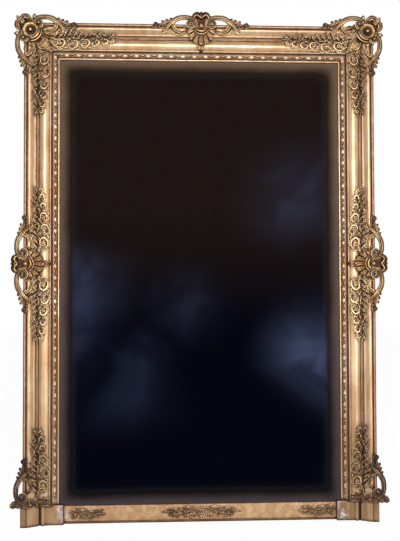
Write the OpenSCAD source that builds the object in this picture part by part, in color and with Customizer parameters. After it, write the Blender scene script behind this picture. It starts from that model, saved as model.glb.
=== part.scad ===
// Overmantel mirror: a softwood carcass with three gilded mouldings, a plain
// frieze between two plinth blocks, and applied scrollwork on the corners, the
// sides and the crest.  Millimetres.  X runs to the right, the front faces -Y
// and Z is up.  The origin is in the middle of the bottom rail's underside,
// the face that stands on the shelf, and the wall plane is at y = back_y.

/* [Frame] */
// Width over the mouldings' outer edges, without the ornaments
frame_w = 1190; // [1100:10:1300]
// Height from the shelf to the top moulding's outer edge
frame_h = 1690; // [1550:10:1800]
// Height of the bottom frieze, up to the sight edge of the glass
frieze_h = 61; // [58:1:64]
// Thickness of the softwood carcass
timber_t = 36; // [34:1:38]

/* [Mouldings] */
// Width of the outer moulding: bead, ogee and steep cove
outer_w = 46; // [44:1:48]
// Width of the inner moulding: broad swelling face and small bead
inner_w = 47; // [45:1:49]
// Width of the sight moulding, which holds the glass
sight_w = 22; // [21:1:24]
// How far the outer bead stands in front of the wall
bead_h = 86; // [82:1:90]
// How far the bottom of the steep cove stands in front of the wall
cove_h = 57.5; // [55:0.5:59]

/* [Plinth blocks] */
// Height of each plinth block
block_h = 66; // [64:1:70]
// Width of each plinth block, with its return along the side
block_w = 140; // [138:1:146]
// How far a block stands out past the frame's side
block_out = 8; // [6:1:10]

/* [Ornaments] */
// Height of the side cartouches above the shelf
side_centre_z = 875; // [800:5:950]
// How far right of centre the crest sits
crest_x = 2; // [0:1:4]
// How far the left corner's ornament sits from its true place, upwards
left_corner_lift = -5; // [-6:1:6]
// How far the right corner's ornament sits from its true place, upwards
right_corner_lift = 5; // [-6:1:6]
// How far the scrolls reach out past the frame's edge
scroll_out = 21; // [18:1:24]

/* [Glass and back] */
// Thickness of the mirror plate
plate_t = 5; // [4:1:6]
// Thickness of the backboards
board_t = 10; // [8:1:10]
// Height of the hangers' hinge above the shelf
hanger_z = 1360; // [1200:10:1450]
// Radius of the wire of a hanger's ring
wire_r = 2; // [1.8:0.1:2.2]

/* [Hidden] */
rail_w = outer_w + inner_w + sight_w;
half_w = frame_w / 2;
carcass_w = rail_w - 10;       // the glass pocket is as deep as this leaves
rebate_w = 15;                 // width of the rebate for the backboards
rebate_d = 12;                 // depth of that rebate
back_y = 24;                   // the wall plane
mitre = 140;                   // leg of the mitre cuts, longer than any rail is wide
block_x = half_w + block_out;  // outer side of the right block
sight_top = frame_h - rail_w;
bottom_h = frieze_h - 10;      // height of the bottom rail behind the frieze
frieze_t = 12;                 // thickness of the frieze board
glass_lap = 8;                 // how far the plate reaches behind the sight edge
bead_r = 4.5;                  // radius of the outer bead
tenon_l = 40;                  // length, height and thickness of the tenons
tenon_h = 30;
tenon_t = 12;
tenon_z = 12;
board_count = 3;
board_gap = 2;
screw_r = 1.6;
screw_head_r = 3.4;
screw_l = 18;
hanger_x = half_w - 46;        // middle of a hanger, on the stile's back
eye_y = 4.5;                   // the hinge axis stands this far behind the wall plane
eye_r = wire_r + 0.1;          // running fit of the ring's bar in the eye
eye_wall = 2.3;
strap_t = 2;
strap_w = 22;
strap_l = 70;
ring_half = 15;                // half width of a ring's loop
ring_leg = 6;
ring_bend = 5;
strap_holes = [-22, -38, -54]; // heights of the strap's screws below the hinge
gilt = "goldenrod";
worn_gilt = "darkgoldenrod";
$fn = 24;

// ---------------------------------------------------------------- points
// Profiles are written as [u, h]: u runs inwards from the outer edge and h
// runs forwards from the wall plane.

function polar(c, r, a) = [c[0] + r * cos(a), c[1] + r * sin(a)];
function arc(c, r, from, to, steps) =
    [for (i = [0:steps]) polar(c, r, from + (to - from) * i / steps)];
function mix(a, b, k) = a + (b - a) * k;

// An S-shaped fall from one point to another, level at both ends.
function ogee(a, b, steps) =
    [for (i = [0:steps]) [mix(a[0], b[0], i / steps),
                          mix(a[1], b[1], (1 - cos(180 * i / steps)) / 2)]];

// A face from one point to another that swells by rise in the middle.
function swell(a, b, rise, steps) =
    [for (i = [0:steps]) mix(a, b, i / steps) + [0, rise * sin(180 * i / steps)]];

// A hollow that starts upright and ends level.
function hollow(a, b, steps) =
    [for (i = [0:steps]) [mix(a[0], b[0], 1 - cos(90 * i / steps)),
                          mix(a[1], b[1], sin(90 * i / steps))]];

function shifted(points, du) = [for (p = points) [p[0] + du, p[1]]];

outer_face = concat(
    arc([bead_r, bead_h - bead_r], bead_r, 180, 0, 5),
    [[11, bead_h - 8], [14, bead_h - 2]],
    ogee([18, bead_h], [outer_w - 8, bead_h - 14], 4),
    hollow([outer_w - 8, bead_h - 14], [outer_w, cove_h], 3));

inner_face = concat(
    swell([1, cove_h], [inner_w - 13, cove_h + 4], 8.5, 6),
    [[inner_w - 11, cove_h + 2]],
    arc([inner_w - 7, cove_h + 3], 2.4, 180, 0, 3),
    [[inner_w - 3, cove_h - 5.5], [inner_w, cove_h - 5.5]]);

sight_face = concat(
    [[0, cove_h - 3.5], [2, cove_h - 1], [3, cove_h - 1.5]],
    swell([5, cove_h - 3], [sight_w - 7, cove_h - 11], -1.2, 3),
    arc([sight_w - 3.4, cove_h - 14], 3.4, 150, 0, 3));

function closed(face, w) = concat([[0, timber_t]], face, [[w, timber_t]]);

outer_profile = closed(outer_face, outer_w);
inner_profile = shifted(closed(inner_face, inner_w), outer_w);
sight_profile = shifted(closed(sight_face, sight_w), outer_w + inner_w);
carcass_profile = [
    [0, 0], [carcass_w - rebate_w, 0], [carcass_w - rebate_w, rebate_d],
    [carcass_w, rebate_d], [carcass_w, timber_t], [0, timber_t]
];
bottom_profile = [
    [0, 0], [bottom_h - rebate_w, 0], [bottom_h - rebate_w, rebate_d],
    [bottom_h, rebate_d], [bottom_h, timber_t], [0, timber_t]
];
frieze_profile = [
    [0, timber_t], [0, timber_t + 7], [3, timber_t + 9], [9, timber_t + 10],
    [10, timber_t + frieze_t], [frieze_h - 2, timber_t + frieze_t],
    [frieze_h, timber_t + frieze_t - 1.5], [frieze_h, timber_t]
];

// The height of the mouldings' face at a distance u from the outer edge.
face_table = concat(outer_face, shifted(inner_face, outer_w),
                    shifted(sight_face, outer_w + inner_w));
function face_h(u) = lookup(u, [for (p = face_table) [p[0], p[1]]]);

// Plan of a block, u measured inwards from its own outer side.
block_plan = concat(
    [[0, 0]],
    arc([4, bead_h - 7], 4, 180, 90, 4),
    [[19, bead_h - 3], [20, bead_h - 6], [21, bead_h - 4]],
    ogee([24, bead_h - 5], [57, bead_h - 20], 6),
    [[59, bead_h - 21], [60, cove_h - 1], [62, cove_h - 1]],
    swell([62, cove_h], [80, cove_h + 1], 7, 6),
    [[block_w - 1.5, cove_h], [block_w, cove_h - 1.5], [block_w, timber_t],
     [block_out, timber_t], [block_out, 0]]);

// ---------------------------------------------------------------- carcass and mouldings

// A member along Z at the left side, from z0 up to the top corner's mitre.
module left_member(profile, z0) {
    intersection() {
        translate([-half_w, back_y, z0])
            linear_extrude(frame_h - z0)
                polygon([for (p = profile) [p[0], -p[1]]]);
        translate([-half_w, back_y + 1, 0])
            rotate([90, 0, 0])
                linear_extrude(bead_h + 2)
                    polygon([[-1, -1], [-1, frame_h + 1], [mitre, frame_h - mitre], [mitre, -1]]);
    }
}

// A member along X at the top, between the two mitres.
module top_member(profile) {
    intersection() {
        translate([-half_w, back_y, frame_h])
            rotate([90, 0, 90])
                linear_extrude(frame_w)
                    polygon([for (p = profile) [-p[1], -p[0]]]);
        translate([0, back_y + 1, frame_h])
            rotate([90, 0, 0])
                linear_extrude(bead_h + 2)
                    polygon([[-half_w - 1, 1], [half_w + 1, 1],
                             [half_w - mitre, -mitre], [mitre - half_w, -mitre]]);
    }
}

// A member along X at the bottom, u measured upwards from the shelf.
module bottom_member(profile, length) {
    translate([-length / 2, back_y, 0])
        rotate([90, 0, 90])
            linear_extrude(length)
                polygon([for (p = profile) [-p[1], p[0]]]);
}

module on_right() {
    mirror([1, 0, 0]) children();
}

// A butterfly key across the left mitre, let into the back.
module key(grow = 0) {
    translate([carcass_w / 2 - 8 - half_w, back_y - 8, frame_h - carcass_w / 2 + 8])
        rotate([-90, 0, 0])
            rotate([0, 0, -45])
                linear_extrude(8 + grow)
                    polygon([[-34, -14], [0, -7], [34, -14], [34, 14], [0, 7], [-34, 14]]);
}

module tenon(length) {
    translate([-half_w + carcass_w - tenon_l, back_y - 26, tenon_z])
        cube([length, tenon_t, tenon_h]);
}

module stile() {
    difference() {
        left_member(carcass_profile, 0);
        key(1);
        tenon(tenon_l + 1);
        for (z = board_screw_z)
            translate([-board_screw_x, back_y - rebate_d - 8, z])
                rotate([-90, 0, 0])
                    cylinder(r = screw_r, h = 9);
        for (z = strap_holes)
            translate([-hanger_x, back_y - 16, hanger_z + z])
                rotate([-90, 0, 0])
                    cylinder(r = screw_r, h = 17);
    }
}

module top_rail() {
    color("burlywood")
        difference() {
            top_member(carcass_profile);
            key(1);
            on_right() key(1);
        }
}

module bottom_rail() {
    color("burlywood")
        union() {
            bottom_member(bottom_profile, frame_w - 2 * carcass_w);
            tenon(tenon_l);
            on_right() tenon(tenon_l);
        }
}

module corner_keys() {
    color("sienna") {
        key();
        on_right() key();
    }
}

module bottom_frieze() {
    color(gilt)
        bottom_member(frieze_profile, 2 * (block_x - block_w));
}

module block() {
    color(gilt)
        translate([-block_x, back_y, 0])
            linear_extrude(block_h)
                polygon([for (p = block_plan) [p[0], -p[1]]]);
}

// Everything that the ornaments are glued to, which their backs are cut to fit.
module frame_body() {
    for (side = [0, 1])
        mirror([side, 0, 0]) {
            for (p = [outer_profile, inner_profile, sight_profile])
                left_member(p, block_h);
            left_member(carcass_profile, 0);
            block();
        }
    for (p = [carcass_profile, outer_profile, inner_profile, sight_profile])
        top_member(p);
    bottom_frieze();
}

// ---------------------------------------------------------------- glass and back

plate_half = half_w - rail_w + glass_lap;
plate_top = sight_top + glass_lap;
plate_z = frieze_h - glass_lap;
board_z = bottom_h - rebate_w + board_gap;
board_top = frame_h - carcass_w + rebate_w - board_gap;
board_h = (board_top - board_z - (board_count - 1) * board_gap) / board_count;
board_half = half_w - carcass_w + rebate_w - board_gap;
board_screw_x = half_w - carcass_w + rebate_w / 2;
board_screw_z = [for (i = [0:board_count - 1], k = [0.15, 0.85])
                    board_z + i * (board_h + board_gap) + k * board_h];

module mirror_plate() {
    color("slategray")
        translate([-plate_half, back_y - timber_t, plate_z])
            cube([2 * plate_half, plate_t, plate_top - plate_z]);
}

// Wedge blocks behind the plate, and two pads that carry its weight.
module glazing_blocks() {
    depth = timber_t - plate_t - rebate_d;
    pocket = half_w - carcass_w;
    color("tan") {
        for (side = [-1, 1], i = [0:3])
            translate([side * (pocket - 9) - 9, back_y - timber_t + plate_t, 190 + i * 380])
                cube([18, depth, 100]);
        for (x = [-300, -50, 200])
            for (z = [bottom_h, frame_h - carcass_w - 18])
                translate([x, back_y - timber_t + plate_t, z])
                    cube([100, depth, 18]);
        for (x = [-330, 270])
            translate([x, back_y - timber_t, bottom_h])
                cube([60, plate_t, plate_z - bottom_h]);
    }
}

module board_screw() {
    rotate([-90, 0, 0]) {
        cylinder(r = screw_r, h = screw_l - 2);
        translate([0, 0, screw_l - 2])
            cylinder(r1 = screw_r, r2 = screw_head_r, h = 2);
    }
}

module backboard(i) {
    z0 = board_z + i * (board_h + board_gap);
    color("peru")
        difference() {
            translate([-board_half, back_y - rebate_d, z0])
                cube([2 * board_half, board_t, board_h]);
            for (side = [-1, 1], k = [0.15, 0.85])
                translate([side * board_screw_x, back_y - rebate_d + board_t - screw_l,
                           z0 + k * board_h])
                    board_screw();
        }
}

module backboard_screws() {
    color("dimgray")
        for (side = [-1, 1], z = board_screw_z)
            translate([side * board_screw_x, back_y - rebate_d + board_t - screw_l, z])
                board_screw();
}

// ---------------------------------------------------------------- hangers
// Drawn for the hinge axis at the origin, with the wall plane at y = -eye_y.

module strap() {
    color("darkgoldenrod")
        difference() {
            union() {
                translate([-strap_w / 2, -eye_y, -strap_l])
                    cube([strap_w, strap_t, strap_l - 1]);
                rotate([0, 90, 0])
                    cylinder(r = eye_r + eye_wall, h = 16, center = true);
            }
            rotate([0, 90, 0])
                cylinder(r = eye_r, h = 40, center = true);
            for (z = strap_holes)
                translate([0, -eye_y, z])
                    rotate([-90, 0, 0]) {
                        translate([0, 0, -1])
                            cylinder(r = screw_r, h = 4);
                        cylinder(r1 = screw_r, r2 = screw_head_r, h = strap_t);
                    }
        }
}

module ring() {
    reach = ring_half - ring_bend;
    color("goldenrod")
        union() {
            rotate([0, 90, 0])
                cylinder(r = wire_r, h = 2 * reach, center = true);
            for (side = [0, 1])
                mirror([side, 0, 0]) {
                    translate([reach, 0, -ring_bend])
                        rotate([90, 0, 0])
                            rotate_extrude(angle = 90)
                                translate([ring_bend, 0]) circle(r = wire_r);
                    translate([ring_half, 0, -ring_bend - ring_leg])
                        cylinder(r = wire_r, h = ring_leg);
                }
            translate([0, 0, -ring_bend - ring_leg])
                rotate([90, 0, 0])
                    rotate([0, 0, 180])
                        rotate_extrude(angle = 180)
                            translate([ring_half, 0]) circle(r = wire_r);
        }
}

module at_hanger(side) {
    translate([side * hanger_x, back_y + eye_y, hanger_z]) children();
}

module hanger_screws() {
    color("dimgray")
        for (side = [-1, 1], z = strap_holes)
            translate([side * hanger_x, back_y, hanger_z + z])
                rotate([-90, 0, 0]) {
                    translate([0, 0, -16])
                        cylinder(r = screw_r, h = 16);
                    cylinder(r1 = screw_r, r2 = screw_head_r, h = strap_t);
                }
}

// ---------------------------------------------------------------- ornaments
// An ornament is drawn on a rail that runs along local X.  Local Y is the way
// out past the rail's edge, so the rail's face lies at negative Y, and local Z
// is the height in front of the wall plane.

// A tube along points [x, y, z], each with a half width and a half depth.
module tube(path, sizes, sides = 6) {
    last = len(path) - 1;
    function along(i) = path[min(i + 1, last)] - path[max(i - 1, 0)];
    function across(i) = [-along(i)[1], along(i)[0]] / norm([along(i)[0], along(i)[1]]);
    points = [for (i = [0:last], k = [0:sides - 1])
        let (a = 360 * k / sides, n = across(i))
        path[i] + [n[0] * sizes[i][0] * cos(a), n[1] * sizes[i][0] * cos(a),
                   sizes[i][1] * sin(a)]];
    faces = concat(
        [[for (k = [0:sides - 1]) k]],
        [[for (k = [sides - 1:-1:0]) last * sides + k]],
        [for (i = [0:last - 1], k = [0:sides - 1])
            let (a = i * sides + k, b = i * sides + (k + 1) % sides)
            [a, a + sides, b]],
        [for (i = [0:last - 1], k = [0:sides - 1])
            let (a = i * sides + k, b = i * sides + (k + 1) % sides)
            [b, a + sides, b + sides]]);
    polyhedron(points, faces);
}

// A flat-bottomed knob: centre, radius, and the heights of its foot and crown.
module knob(c, r, foot, crown, sides = 8) {
    hull() {
        translate([c[0], c[1], foot])
            cylinder(r = r, h = (crown - foot) * 0.55, $fn = sides);
        translate([c[0], c[1], foot])
            cylinder(r = r * 0.6, h = crown - foot, $fn = sides);
    }
}

// A petal from a to b, each [x, y, z], with half widths wa and wb.
module petal(a, b, wa, wb) {
    hull() {
        translate(a) sphere(r = wa, $fn = 5);
        translate(b) sphere(r = wb, $fn = 6);
    }
}

// A flat strip along points [x, y], with a half width at each point.
function strip(points, widths) =
    let (last = len(points) - 1,
         n = [for (i = [0:last])
                let (d = points[min(i + 1, last)] - points[max(i - 1, 0)])
                [-d[1], d[0]] / norm([d[0], d[1]])])
    concat([for (i = [0:last]) [points[i][0], points[i][1]] + n[i] * widths[i]],
           [for (i = [last:-1:0]) [points[i][0], points[i][1]] - n[i] * widths[i]]);

// --- the C-scroll, the same casting all round the frame
volute_at = [38, -2];          // centre of the volute, from the cartouche's middle
volute_out = 19;               // radius where the arch leaves the volute
volute_in = 3;
volute_from = 630;             // angles of the volute's inner and outer ends
volute_to = 135;
volute_steps = 13;
bud_at = [153, -1];

volute = [
    for (i = [0:volute_steps])
        let (k = i / volute_steps,
             p = polar(volute_at, mix(volute_in, volute_out, k), mix(volute_from, volute_to, k)))
        [p[0], p[1], 92 + 2 * k]
];

arch = [
    [31, scroll_out - 4, 94], [44, scroll_out, 94], [60, scroll_out, 94],
    [76, scroll_out - 3, 94], [90, scroll_out - 10, 93], [104, 1, 91],
    [117, -11, 88], [130, -24, 85], [138, -34, 81]
];
branch = [[98, 7, 93], [114, 2, 92], [132, -1, 91], [150, -1, 91]];

module c_scroll() {
    last = len(arch) - 1;
    tube(concat(volute, arch),
         concat([for (i = [0:volute_steps]) mix(3, 5, i / volute_steps) * [1, 1.4]],
                [for (i = [0:last]) (4.5 + 3.1 * sin(180 * (i + 1) / (last + 2))) * [1, 1.15]]));
    tube(branch, [for (i = [0:3]) [5 - 0.5 * i, 5]], 5);
    knob(bud_at, 8.5, 84, 99);
    knob(volute_at, 4.5, 86, 100, 6);
    petal([40, 4, 88], [45, 20, 90], 5, 5);
    petal([120, 1, 92], [127, 6, 91], 4, 4);
}

// What lies under a scroll's volute and tail, in plan.
module scroll_plan() {
    polygon(strip([for (i = [4:8]) arch[i]], [9, 9, 9, 8, 8]));
    translate(bud_at) circle(r = 9.5);
    translate(volute_at) circle(r = 24);
}

// --- the cartouche of the crest and of the two sides
cartouche_rib = [0, -8];       // where its ribs spring from

module cartouche_plan() {
    for (side = [-1, 1])
        translate([side * 15, 21]) circle(r = 14);
    translate([0, 36]) circle(r = 5);
    translate([-6, 20]) square([12, 16]);
    translate(cartouche_rib) circle(r = 25);
    translate([-20, -2]) square([40, 24]);
    polygon(concat(arc(cartouche_rib, 56, -172, -112, 5), [[-7, -88], [7, -88]],
                   arc(cartouche_rib, 56, -68, -8, 5)));
}

module cartouche() {
    for (side = [-1, 1])
        knob([side * 15, 21], 13.5, 80, 104, 10);
    petal([0, 24, 92], [0, 36, 92], 5, 4.5);
    knob(cartouche_rib, 24, 80, 96, 12);
    translate([-14, 0, 80]) cube([28, 20, 17]);
    translate([0, -10, 103]) sphere(r = 8.5, $fn = 10);
    translate([cartouche_rib[0], cartouche_rib[1], 91])
        rotate([0, 0, -160])
            rotate_extrude(angle = 140, $fn = 20)
                translate([27, 0]) circle(r = 6, $fn = 6);
    for (a = [-155:26:-25])
        petal(concat(polar(cartouche_rib, 32, a), [86]),
              concat(polar(cartouche_rib, 46, a), [face_h(8 - 46 * sin(a)) + 5]), 5, 8);
    petal([0, -82, 66], [0, -62, 73], 4, 11);
}

// --- the cartouche of a top corner, local origin at the frame's own corner
boss_at = [24, -25];

module corner_plan() {
    translate([5, 9]) circle(r = 16);
    translate([-11, -7]) circle(r = 17);
    translate([38, 12]) circle(r = 8.5);
    translate([-14, -39]) circle(r = 8.5);
    polygon(strip([[0, 0], [-20, 20], [-24, 24]], [9, 8, 6]));
    polygon([[0, 26], [38, 21], [46, 10], [60, -14], [60, -30], [22, -62], [-12, -50], [-22, -40],
             [-28, -6]]);
    polygon(concat([boss_at], arc(boss_at, 76, -98, -55, 4), [[90, -99], [99, -90]],
                   arc(boss_at, 76, -35, 8, 4)));
}

module corner_cartouche() {
    knob([5, 9], 15, 80, 104, 10);
    knob([-11, -7], 16, 80, 104, 10);
    petal([-3, 3, 92], [-19, 19, 92], 8, 6);
    knob([37, 12], 8, 84, 99);
    knob([-13, -38], 8, 84, 99);
    hull()
        for (p = [[6, 6], [34, 6], [-6, -34], [34, -36], [24, -45], [44, -24]])
            translate([p[0], p[1], 80]) cylinder(r = 7, h = 15, $fn = 6);
    translate([boss_at[0], boss_at[1], 102]) sphere(r = 10, $fn = 10);
    translate([boss_at[0], boss_at[1], 92])
        rotate([0, 0, -105])
            rotate_extrude(angle = 120, $fn = 18)
                translate([29, 0]) circle(r = 6, $fn = 6);
    for (a = [-88:21.5:0])
        petal(concat(polar(boss_at, 34, a), [86]),
              concat(polar(boss_at, 62, a), [72]), 6, 11);
    petal([91, -91, 60], [74, -74, 70], 4, 13);
}

// --- the leaf that stands on a plinth block, drawn at the frame's left side
// with local X upwards from the block's top
module foot_leaf() {
    tube([[2, 37, 89], [11, 34, 89], [18, 27, 89], [20, 16, 89], [18, 0, 88], [17, -20, 85],
          [20, -44, 79], [18, -70, 71], [9, -90, 66], [2, -98, 62]],
         [[5, 7], [8, 8], [9, 8], [9, 8], [8, 8], [9, 9], [10, 9], [9, 8], [6, 6], [3, 4]]);
    for (y = [24, 4, -16, -36, -56]) {
        z = y > 0 ? 88 : face_h(-y) + 5;
        petal([5, y, z], [12, y - 10, z], 7, 8);
    }
}

module foot_plan() {
    polygon([[-1, 46], [10, 46], [24, 36], [29, 24], [29, 0], [28, -20], [31, -46], [28, -76],
             [16, -98], [-1, -104]]);
}

// --- a spray of leaves and small flowers that fills the mouldings' cove
spray_from = 36;
spray_to = 262;
spray_u = 54;                  // middle of the spray, from the rail's outer edge
spray_crown = [[18, 91], [32, 85], [46, 73], [57, 74], [68, 77], [79, 71], [90, 66]];
flowers = [[64, 66, 13], [120, 56, 9], [162, 60, 8], [204, 54, 8], [240, 56, 6]];

function stem_u(x) = spray_u + 6 * sin((x - spray_from) * 3);
function crown_h(u) = lookup(u, spray_crown);

// A leaf from [0, 0] along X, swelling and drawn in again twice.
module leaf(length, width) {
    edge = [[0, 0.15], [0.25, 0.8], [0.42, 0.55], [0.62, 1], [0.8, 0.7], [1, 0.05]];
    polygon(concat([for (e = edge) [e[0] * length, e[1] * width]],
                   [for (i = [len(edge) - 1:-1:0]) [edge[i][0] * length, -edge[i][1] * width]]));
}

module spray_leaves() {
    stem = [for (x = [spray_from:18:spray_to - 8]) [x, -stem_u(x)]];
    polygon(strip(stem, [for (i = [0:len(stem) - 1]) 4 - 0.2 * i]));
    for (i = [0:9]) {
        x = spray_from + 4 + i * 22;
        side = i % 2 == 0 ? 1 : -1;
        translate([x, -stem_u(x)]) rotate(-side * (58 - i * 2)) leaf(31 - i * 1.2, 8 - i * 0.35);
        translate([x + 8, -stem_u(x + 8)])
            rotate(side * 50) leaf(23 - i * 0.8, 6 - i * 0.25);
    }
    for (f = flowers)
        translate([f[0], -f[1]]) circle(r = f[2]);
    translate([spray_to - 22, -stem_u(spray_to - 22)]) leaf(24, 6);
}

// The spray, kept between the outer moulding's fillet and the ornament band.
module spray_plan() {
    intersection() {
        spray_leaves();
        translate([spray_from, -88]) square([300, 68]);
    }
}

// The relief above a plan: the face of the mouldings below, the crown above.
module relief() {
    intersection() {
        translate([0, 0, 40])
            linear_extrude(70) children();
        translate([-10, 0, 0])
            rotate([90, 0, 90])
                linear_extrude(400)
                    polygon(concat([for (p = face_table) if (p[0] > 17.9 && p[0] < 90.1) [-p[0], p[1]]],
                                   [for (i = [len(spray_crown) - 1:-1:0])
                                       [-spray_crown[i][0], spray_crown[i][1]]]));
    }
}

module flower_hearts() {
    for (f = flowers)
        translate([f[0], -f[1], crown_h(f[1]) - 2])
            cylinder(r1 = f[2] * 0.7, r2 = f[2] * 0.35, h = 6);
}

// --- the low ornaments on the frieze, local Y upwards and Z forwards
module frieze_relief(heights) {
    translate([0, 0, timber_t + frieze_t])
        linear_extrude(heights) children();
}

module rosette() {
    frieze_relief(6) {
        circle(r = 20);
        for (side = [0, 1])
            mirror([side, 0, 0]) {
                translate([12, 8]) rotate(10) leaf(62, 9);
                translate([12, -6]) rotate(-8) leaf(66, 9);
                translate([58, 1]) rotate(2) leaf(76, 10);
                for (p = [[30, 12, 9], [46, -9, 9], [68, 11, 9], [84, -6, 9], [104, 7, 8]])
                    translate([p[0], p[1]]) circle(r = p[2]);
            }
    }
    frieze_relief(9)
        difference() {
            circle(r = 18);
            circle(r = 12);
        }
    translate([0, 0, timber_t + frieze_t])
        cylinder(r1 = 10, r2 = 6, h = 12);
}

module sprig(length) {
    function stem_y(x) = 4 * sin(x * 5);
    frieze_relief(6) {
        stem = [for (x = [0:length / 8:length - 6]) [x, stem_y(x)]];
        polygon(strip(stem, [for (i = [0:len(stem) - 1]) 4.5 - 0.3 * i]));
        for (i = [0:4]) {
            x = 8 + i * length / 6;
            side = i % 2 == 0 ? 1 : -1;
            translate([x, stem_y(x)]) rotate(side * 42) leaf(30 - i * 2, 8 - i * 0.6);
            translate([x + 7, stem_y(x + 7) - side * 4]) circle(r = 9 - i, $fn = 12);
        }
    }
}

// ---------------------------------------------------------------- placing

module seated() {
    difference() {
        children();
        frame_body();
    }
}

module on_top(x) {
    translate([x, back_y, frame_h]) rotate([90, 0, 0]) children();
}

module on_left(z) {
    translate([-half_w, back_y, z])
        rotate([90, 0, 0])
            rotate([0, 0, 90])
                children();
}

module backwards() {
    mirror([1, 0, 0]) children();
}

// The corner's local frame, and the same frame with its two rails exchanged.
module at_corner(lift) {
    translate([0, 0, lift]) on_top(-half_w) children();
}

module down_side() {
    rotate([0, 0, 90]) mirror([1, 0, 0]) children();
}

corner_shift = 14;             // the corner's scrolls start this much further along
corner_spray_shift = 48;

module turned(yes) {
    if (yes)
        down_side() children();
    else
        children();
}

module corner_spray(lift, down) {
    color(worn_gilt)
        difference() {
            at_corner(0)
                turned(down)
                    translate([corner_spray_shift + (down ? -lift : 0), 0, 0]) {
                        relief() spray_plan();
                        flower_hearts();
                    }
            at_corner(lift)
                translate([0, 0, 40]) linear_extrude(80) corner_plan();
            at_corner(lift)
                turned(down)
                    translate([corner_shift, 0, 40])
                        linear_extrude(80) scroll_plan();
        }
}

module corner_scroll(lift, down) {
    color(gilt)
        seated()
            difference() {
                at_corner(lift)
                    turned(down)
                        translate([corner_shift, 0, 0]) c_scroll();
                at_corner(lift) linear_extrude(130) corner_plan();
            }
}

module corner_centre(lift) {
    color(gilt)
        seated()
            at_corner(lift) corner_cartouche();
}

module middle_scroll() {
    color(gilt)
        difference() {
            c_scroll();
            linear_extrude(130) cartouche_plan();
        }
}

module middle_spray() {
    color(worn_gilt) {
        relief()
            difference() {
                spray_plan();
                cartouche_plan();
                scroll_plan();
            }
        flower_hearts();
    }
}

module foot_spray() {
    color(worn_gilt)
        on_left(block_h) {
            relief()
                difference() {
                    spray_plan();
                    foot_plan();
                    scroll_plan();
                }
            flower_hearts();
        }
}

module foot_scroll() {
    color(gilt)
        seated()
            on_left(block_h)
                difference() {
                    c_scroll();
                    linear_extrude(130) foot_plan();
                }
}

module foot_acanthus() {
    color(gilt)
        seated()
            on_left(block_h) foot_leaf();
}

module frieze_piece(x) {
    color(worn_gilt)
        translate([x, back_y, 32]) rotate([90, 0, 0]) children();
}

color("burlywood") stile();  // left_stile
color("burlywood") on_right() stile();  // right_stile
top_rail();
bottom_rail();
corner_keys();
color(gilt) left_member(outer_profile, block_h);  // left_outer_moulding
color(gilt) on_right() left_member(outer_profile, block_h);  // right_outer_moulding
color(gilt) top_member(outer_profile);  // top_outer_moulding
color(gilt) left_member(inner_profile, block_h);  // left_inner_moulding
color(gilt) on_right() left_member(inner_profile, block_h);  // right_inner_moulding
color(gilt) top_member(inner_profile);  // top_inner_moulding
color(worn_gilt) left_member(sight_profile, block_h);  // left_sight_moulding
color(worn_gilt) on_right() left_member(sight_profile, block_h);  // right_sight_moulding
color(worn_gilt) top_member(sight_profile);  // top_sight_moulding
bottom_frieze();
block();  // left_plinth_block
on_right() block();  // right_plinth_block
mirror_plate();
glazing_blocks();
backboard(0);  // bottom_backboard
backboard(1);  // middle_backboard
backboard(2);  // top_backboard
backboard_screws();
corner_centre(left_corner_lift);  // left_corner_cartouche
corner_scroll(left_corner_lift, false);  // left_corner_top_scroll
corner_scroll(left_corner_lift, true);  // left_corner_side_scroll
on_right() corner_centre(right_corner_lift);  // right_corner_cartouche
on_right() corner_scroll(right_corner_lift, false);  // right_corner_top_scroll
on_right() corner_scroll(right_corner_lift, true);  // right_corner_side_scroll
color(gilt) seated() on_top(crest_x) cartouche();  // crest_cartouche
seated() on_top(crest_x) backwards() middle_scroll();  // crest_left_scroll
seated() on_top(crest_x) middle_scroll();  // crest_right_scroll
color(gilt) seated() on_left(side_centre_z) cartouche();  // left_side_cartouche
seated() on_left(side_centre_z) middle_scroll();  // left_upper_scroll
seated() on_left(side_centre_z) backwards() middle_scroll();  // left_lower_scroll
color(gilt) on_right() seated() on_left(side_centre_z) cartouche();  // right_side_cartouche
on_right() seated() on_left(side_centre_z) middle_scroll();  // right_upper_scroll
on_right() seated() on_left(side_centre_z) backwards() middle_scroll();  // right_lower_scroll
foot_acanthus();  // left_foot_leaf
foot_scroll();  // left_foot_scroll
on_right() foot_acanthus();  // right_foot_leaf
on_right() foot_scroll();  // right_foot_scroll
corner_spray(left_corner_lift, false);  // left_corner_top_spray
corner_spray(left_corner_lift, true);  // left_corner_side_spray
on_right() corner_spray(right_corner_lift, false);  // right_corner_top_spray
on_right() corner_spray(right_corner_lift, true);  // right_corner_side_spray
on_left(side_centre_z) middle_spray();  // left_upper_spray
on_left(side_centre_z) backwards() middle_spray();  // left_lower_spray
on_right() on_left(side_centre_z) middle_spray();  // right_upper_spray
on_right() on_left(side_centre_z) backwards() middle_spray();  // right_lower_spray
foot_spray();  // left_foot_spray
on_right() foot_spray();  // right_foot_spray
frieze_piece(0) rosette();  // frieze_rosette
frieze_piece(18 - block_x + block_w) sprig(124);  // left_frieze_sprig
on_right() frieze_piece(4 - block_x + block_w) sprig(128);  // right_frieze_sprig
at_hanger(-1) strap();  // left_hanger_strap
at_hanger(1) strap();  // right_hanger_strap
at_hanger(-1) ring();  // left_hanger_ring
at_hanger(1) ring();  // right_hanger_ring
hanger_screws();
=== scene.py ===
# %% [markdown]
# # A gilded overmantel mirror
# The real object is a softwood frame with three runs of moulding, coated with gesso and red
# clay and then with leaf gold. Moulded scrolls, shells and sprays of flowers are glued over the
# corners, the crest, the sides and the feet. The carcass, glass and joints are already fixed by
# the construction model, so this lesson loads it first and then dresses it.

# %% Load the frame
import math
import random
from math import cos, exp, pi, radians, sin

import bmesh
import bpy
from mathutils import Matrix, Vector, noise


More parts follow.
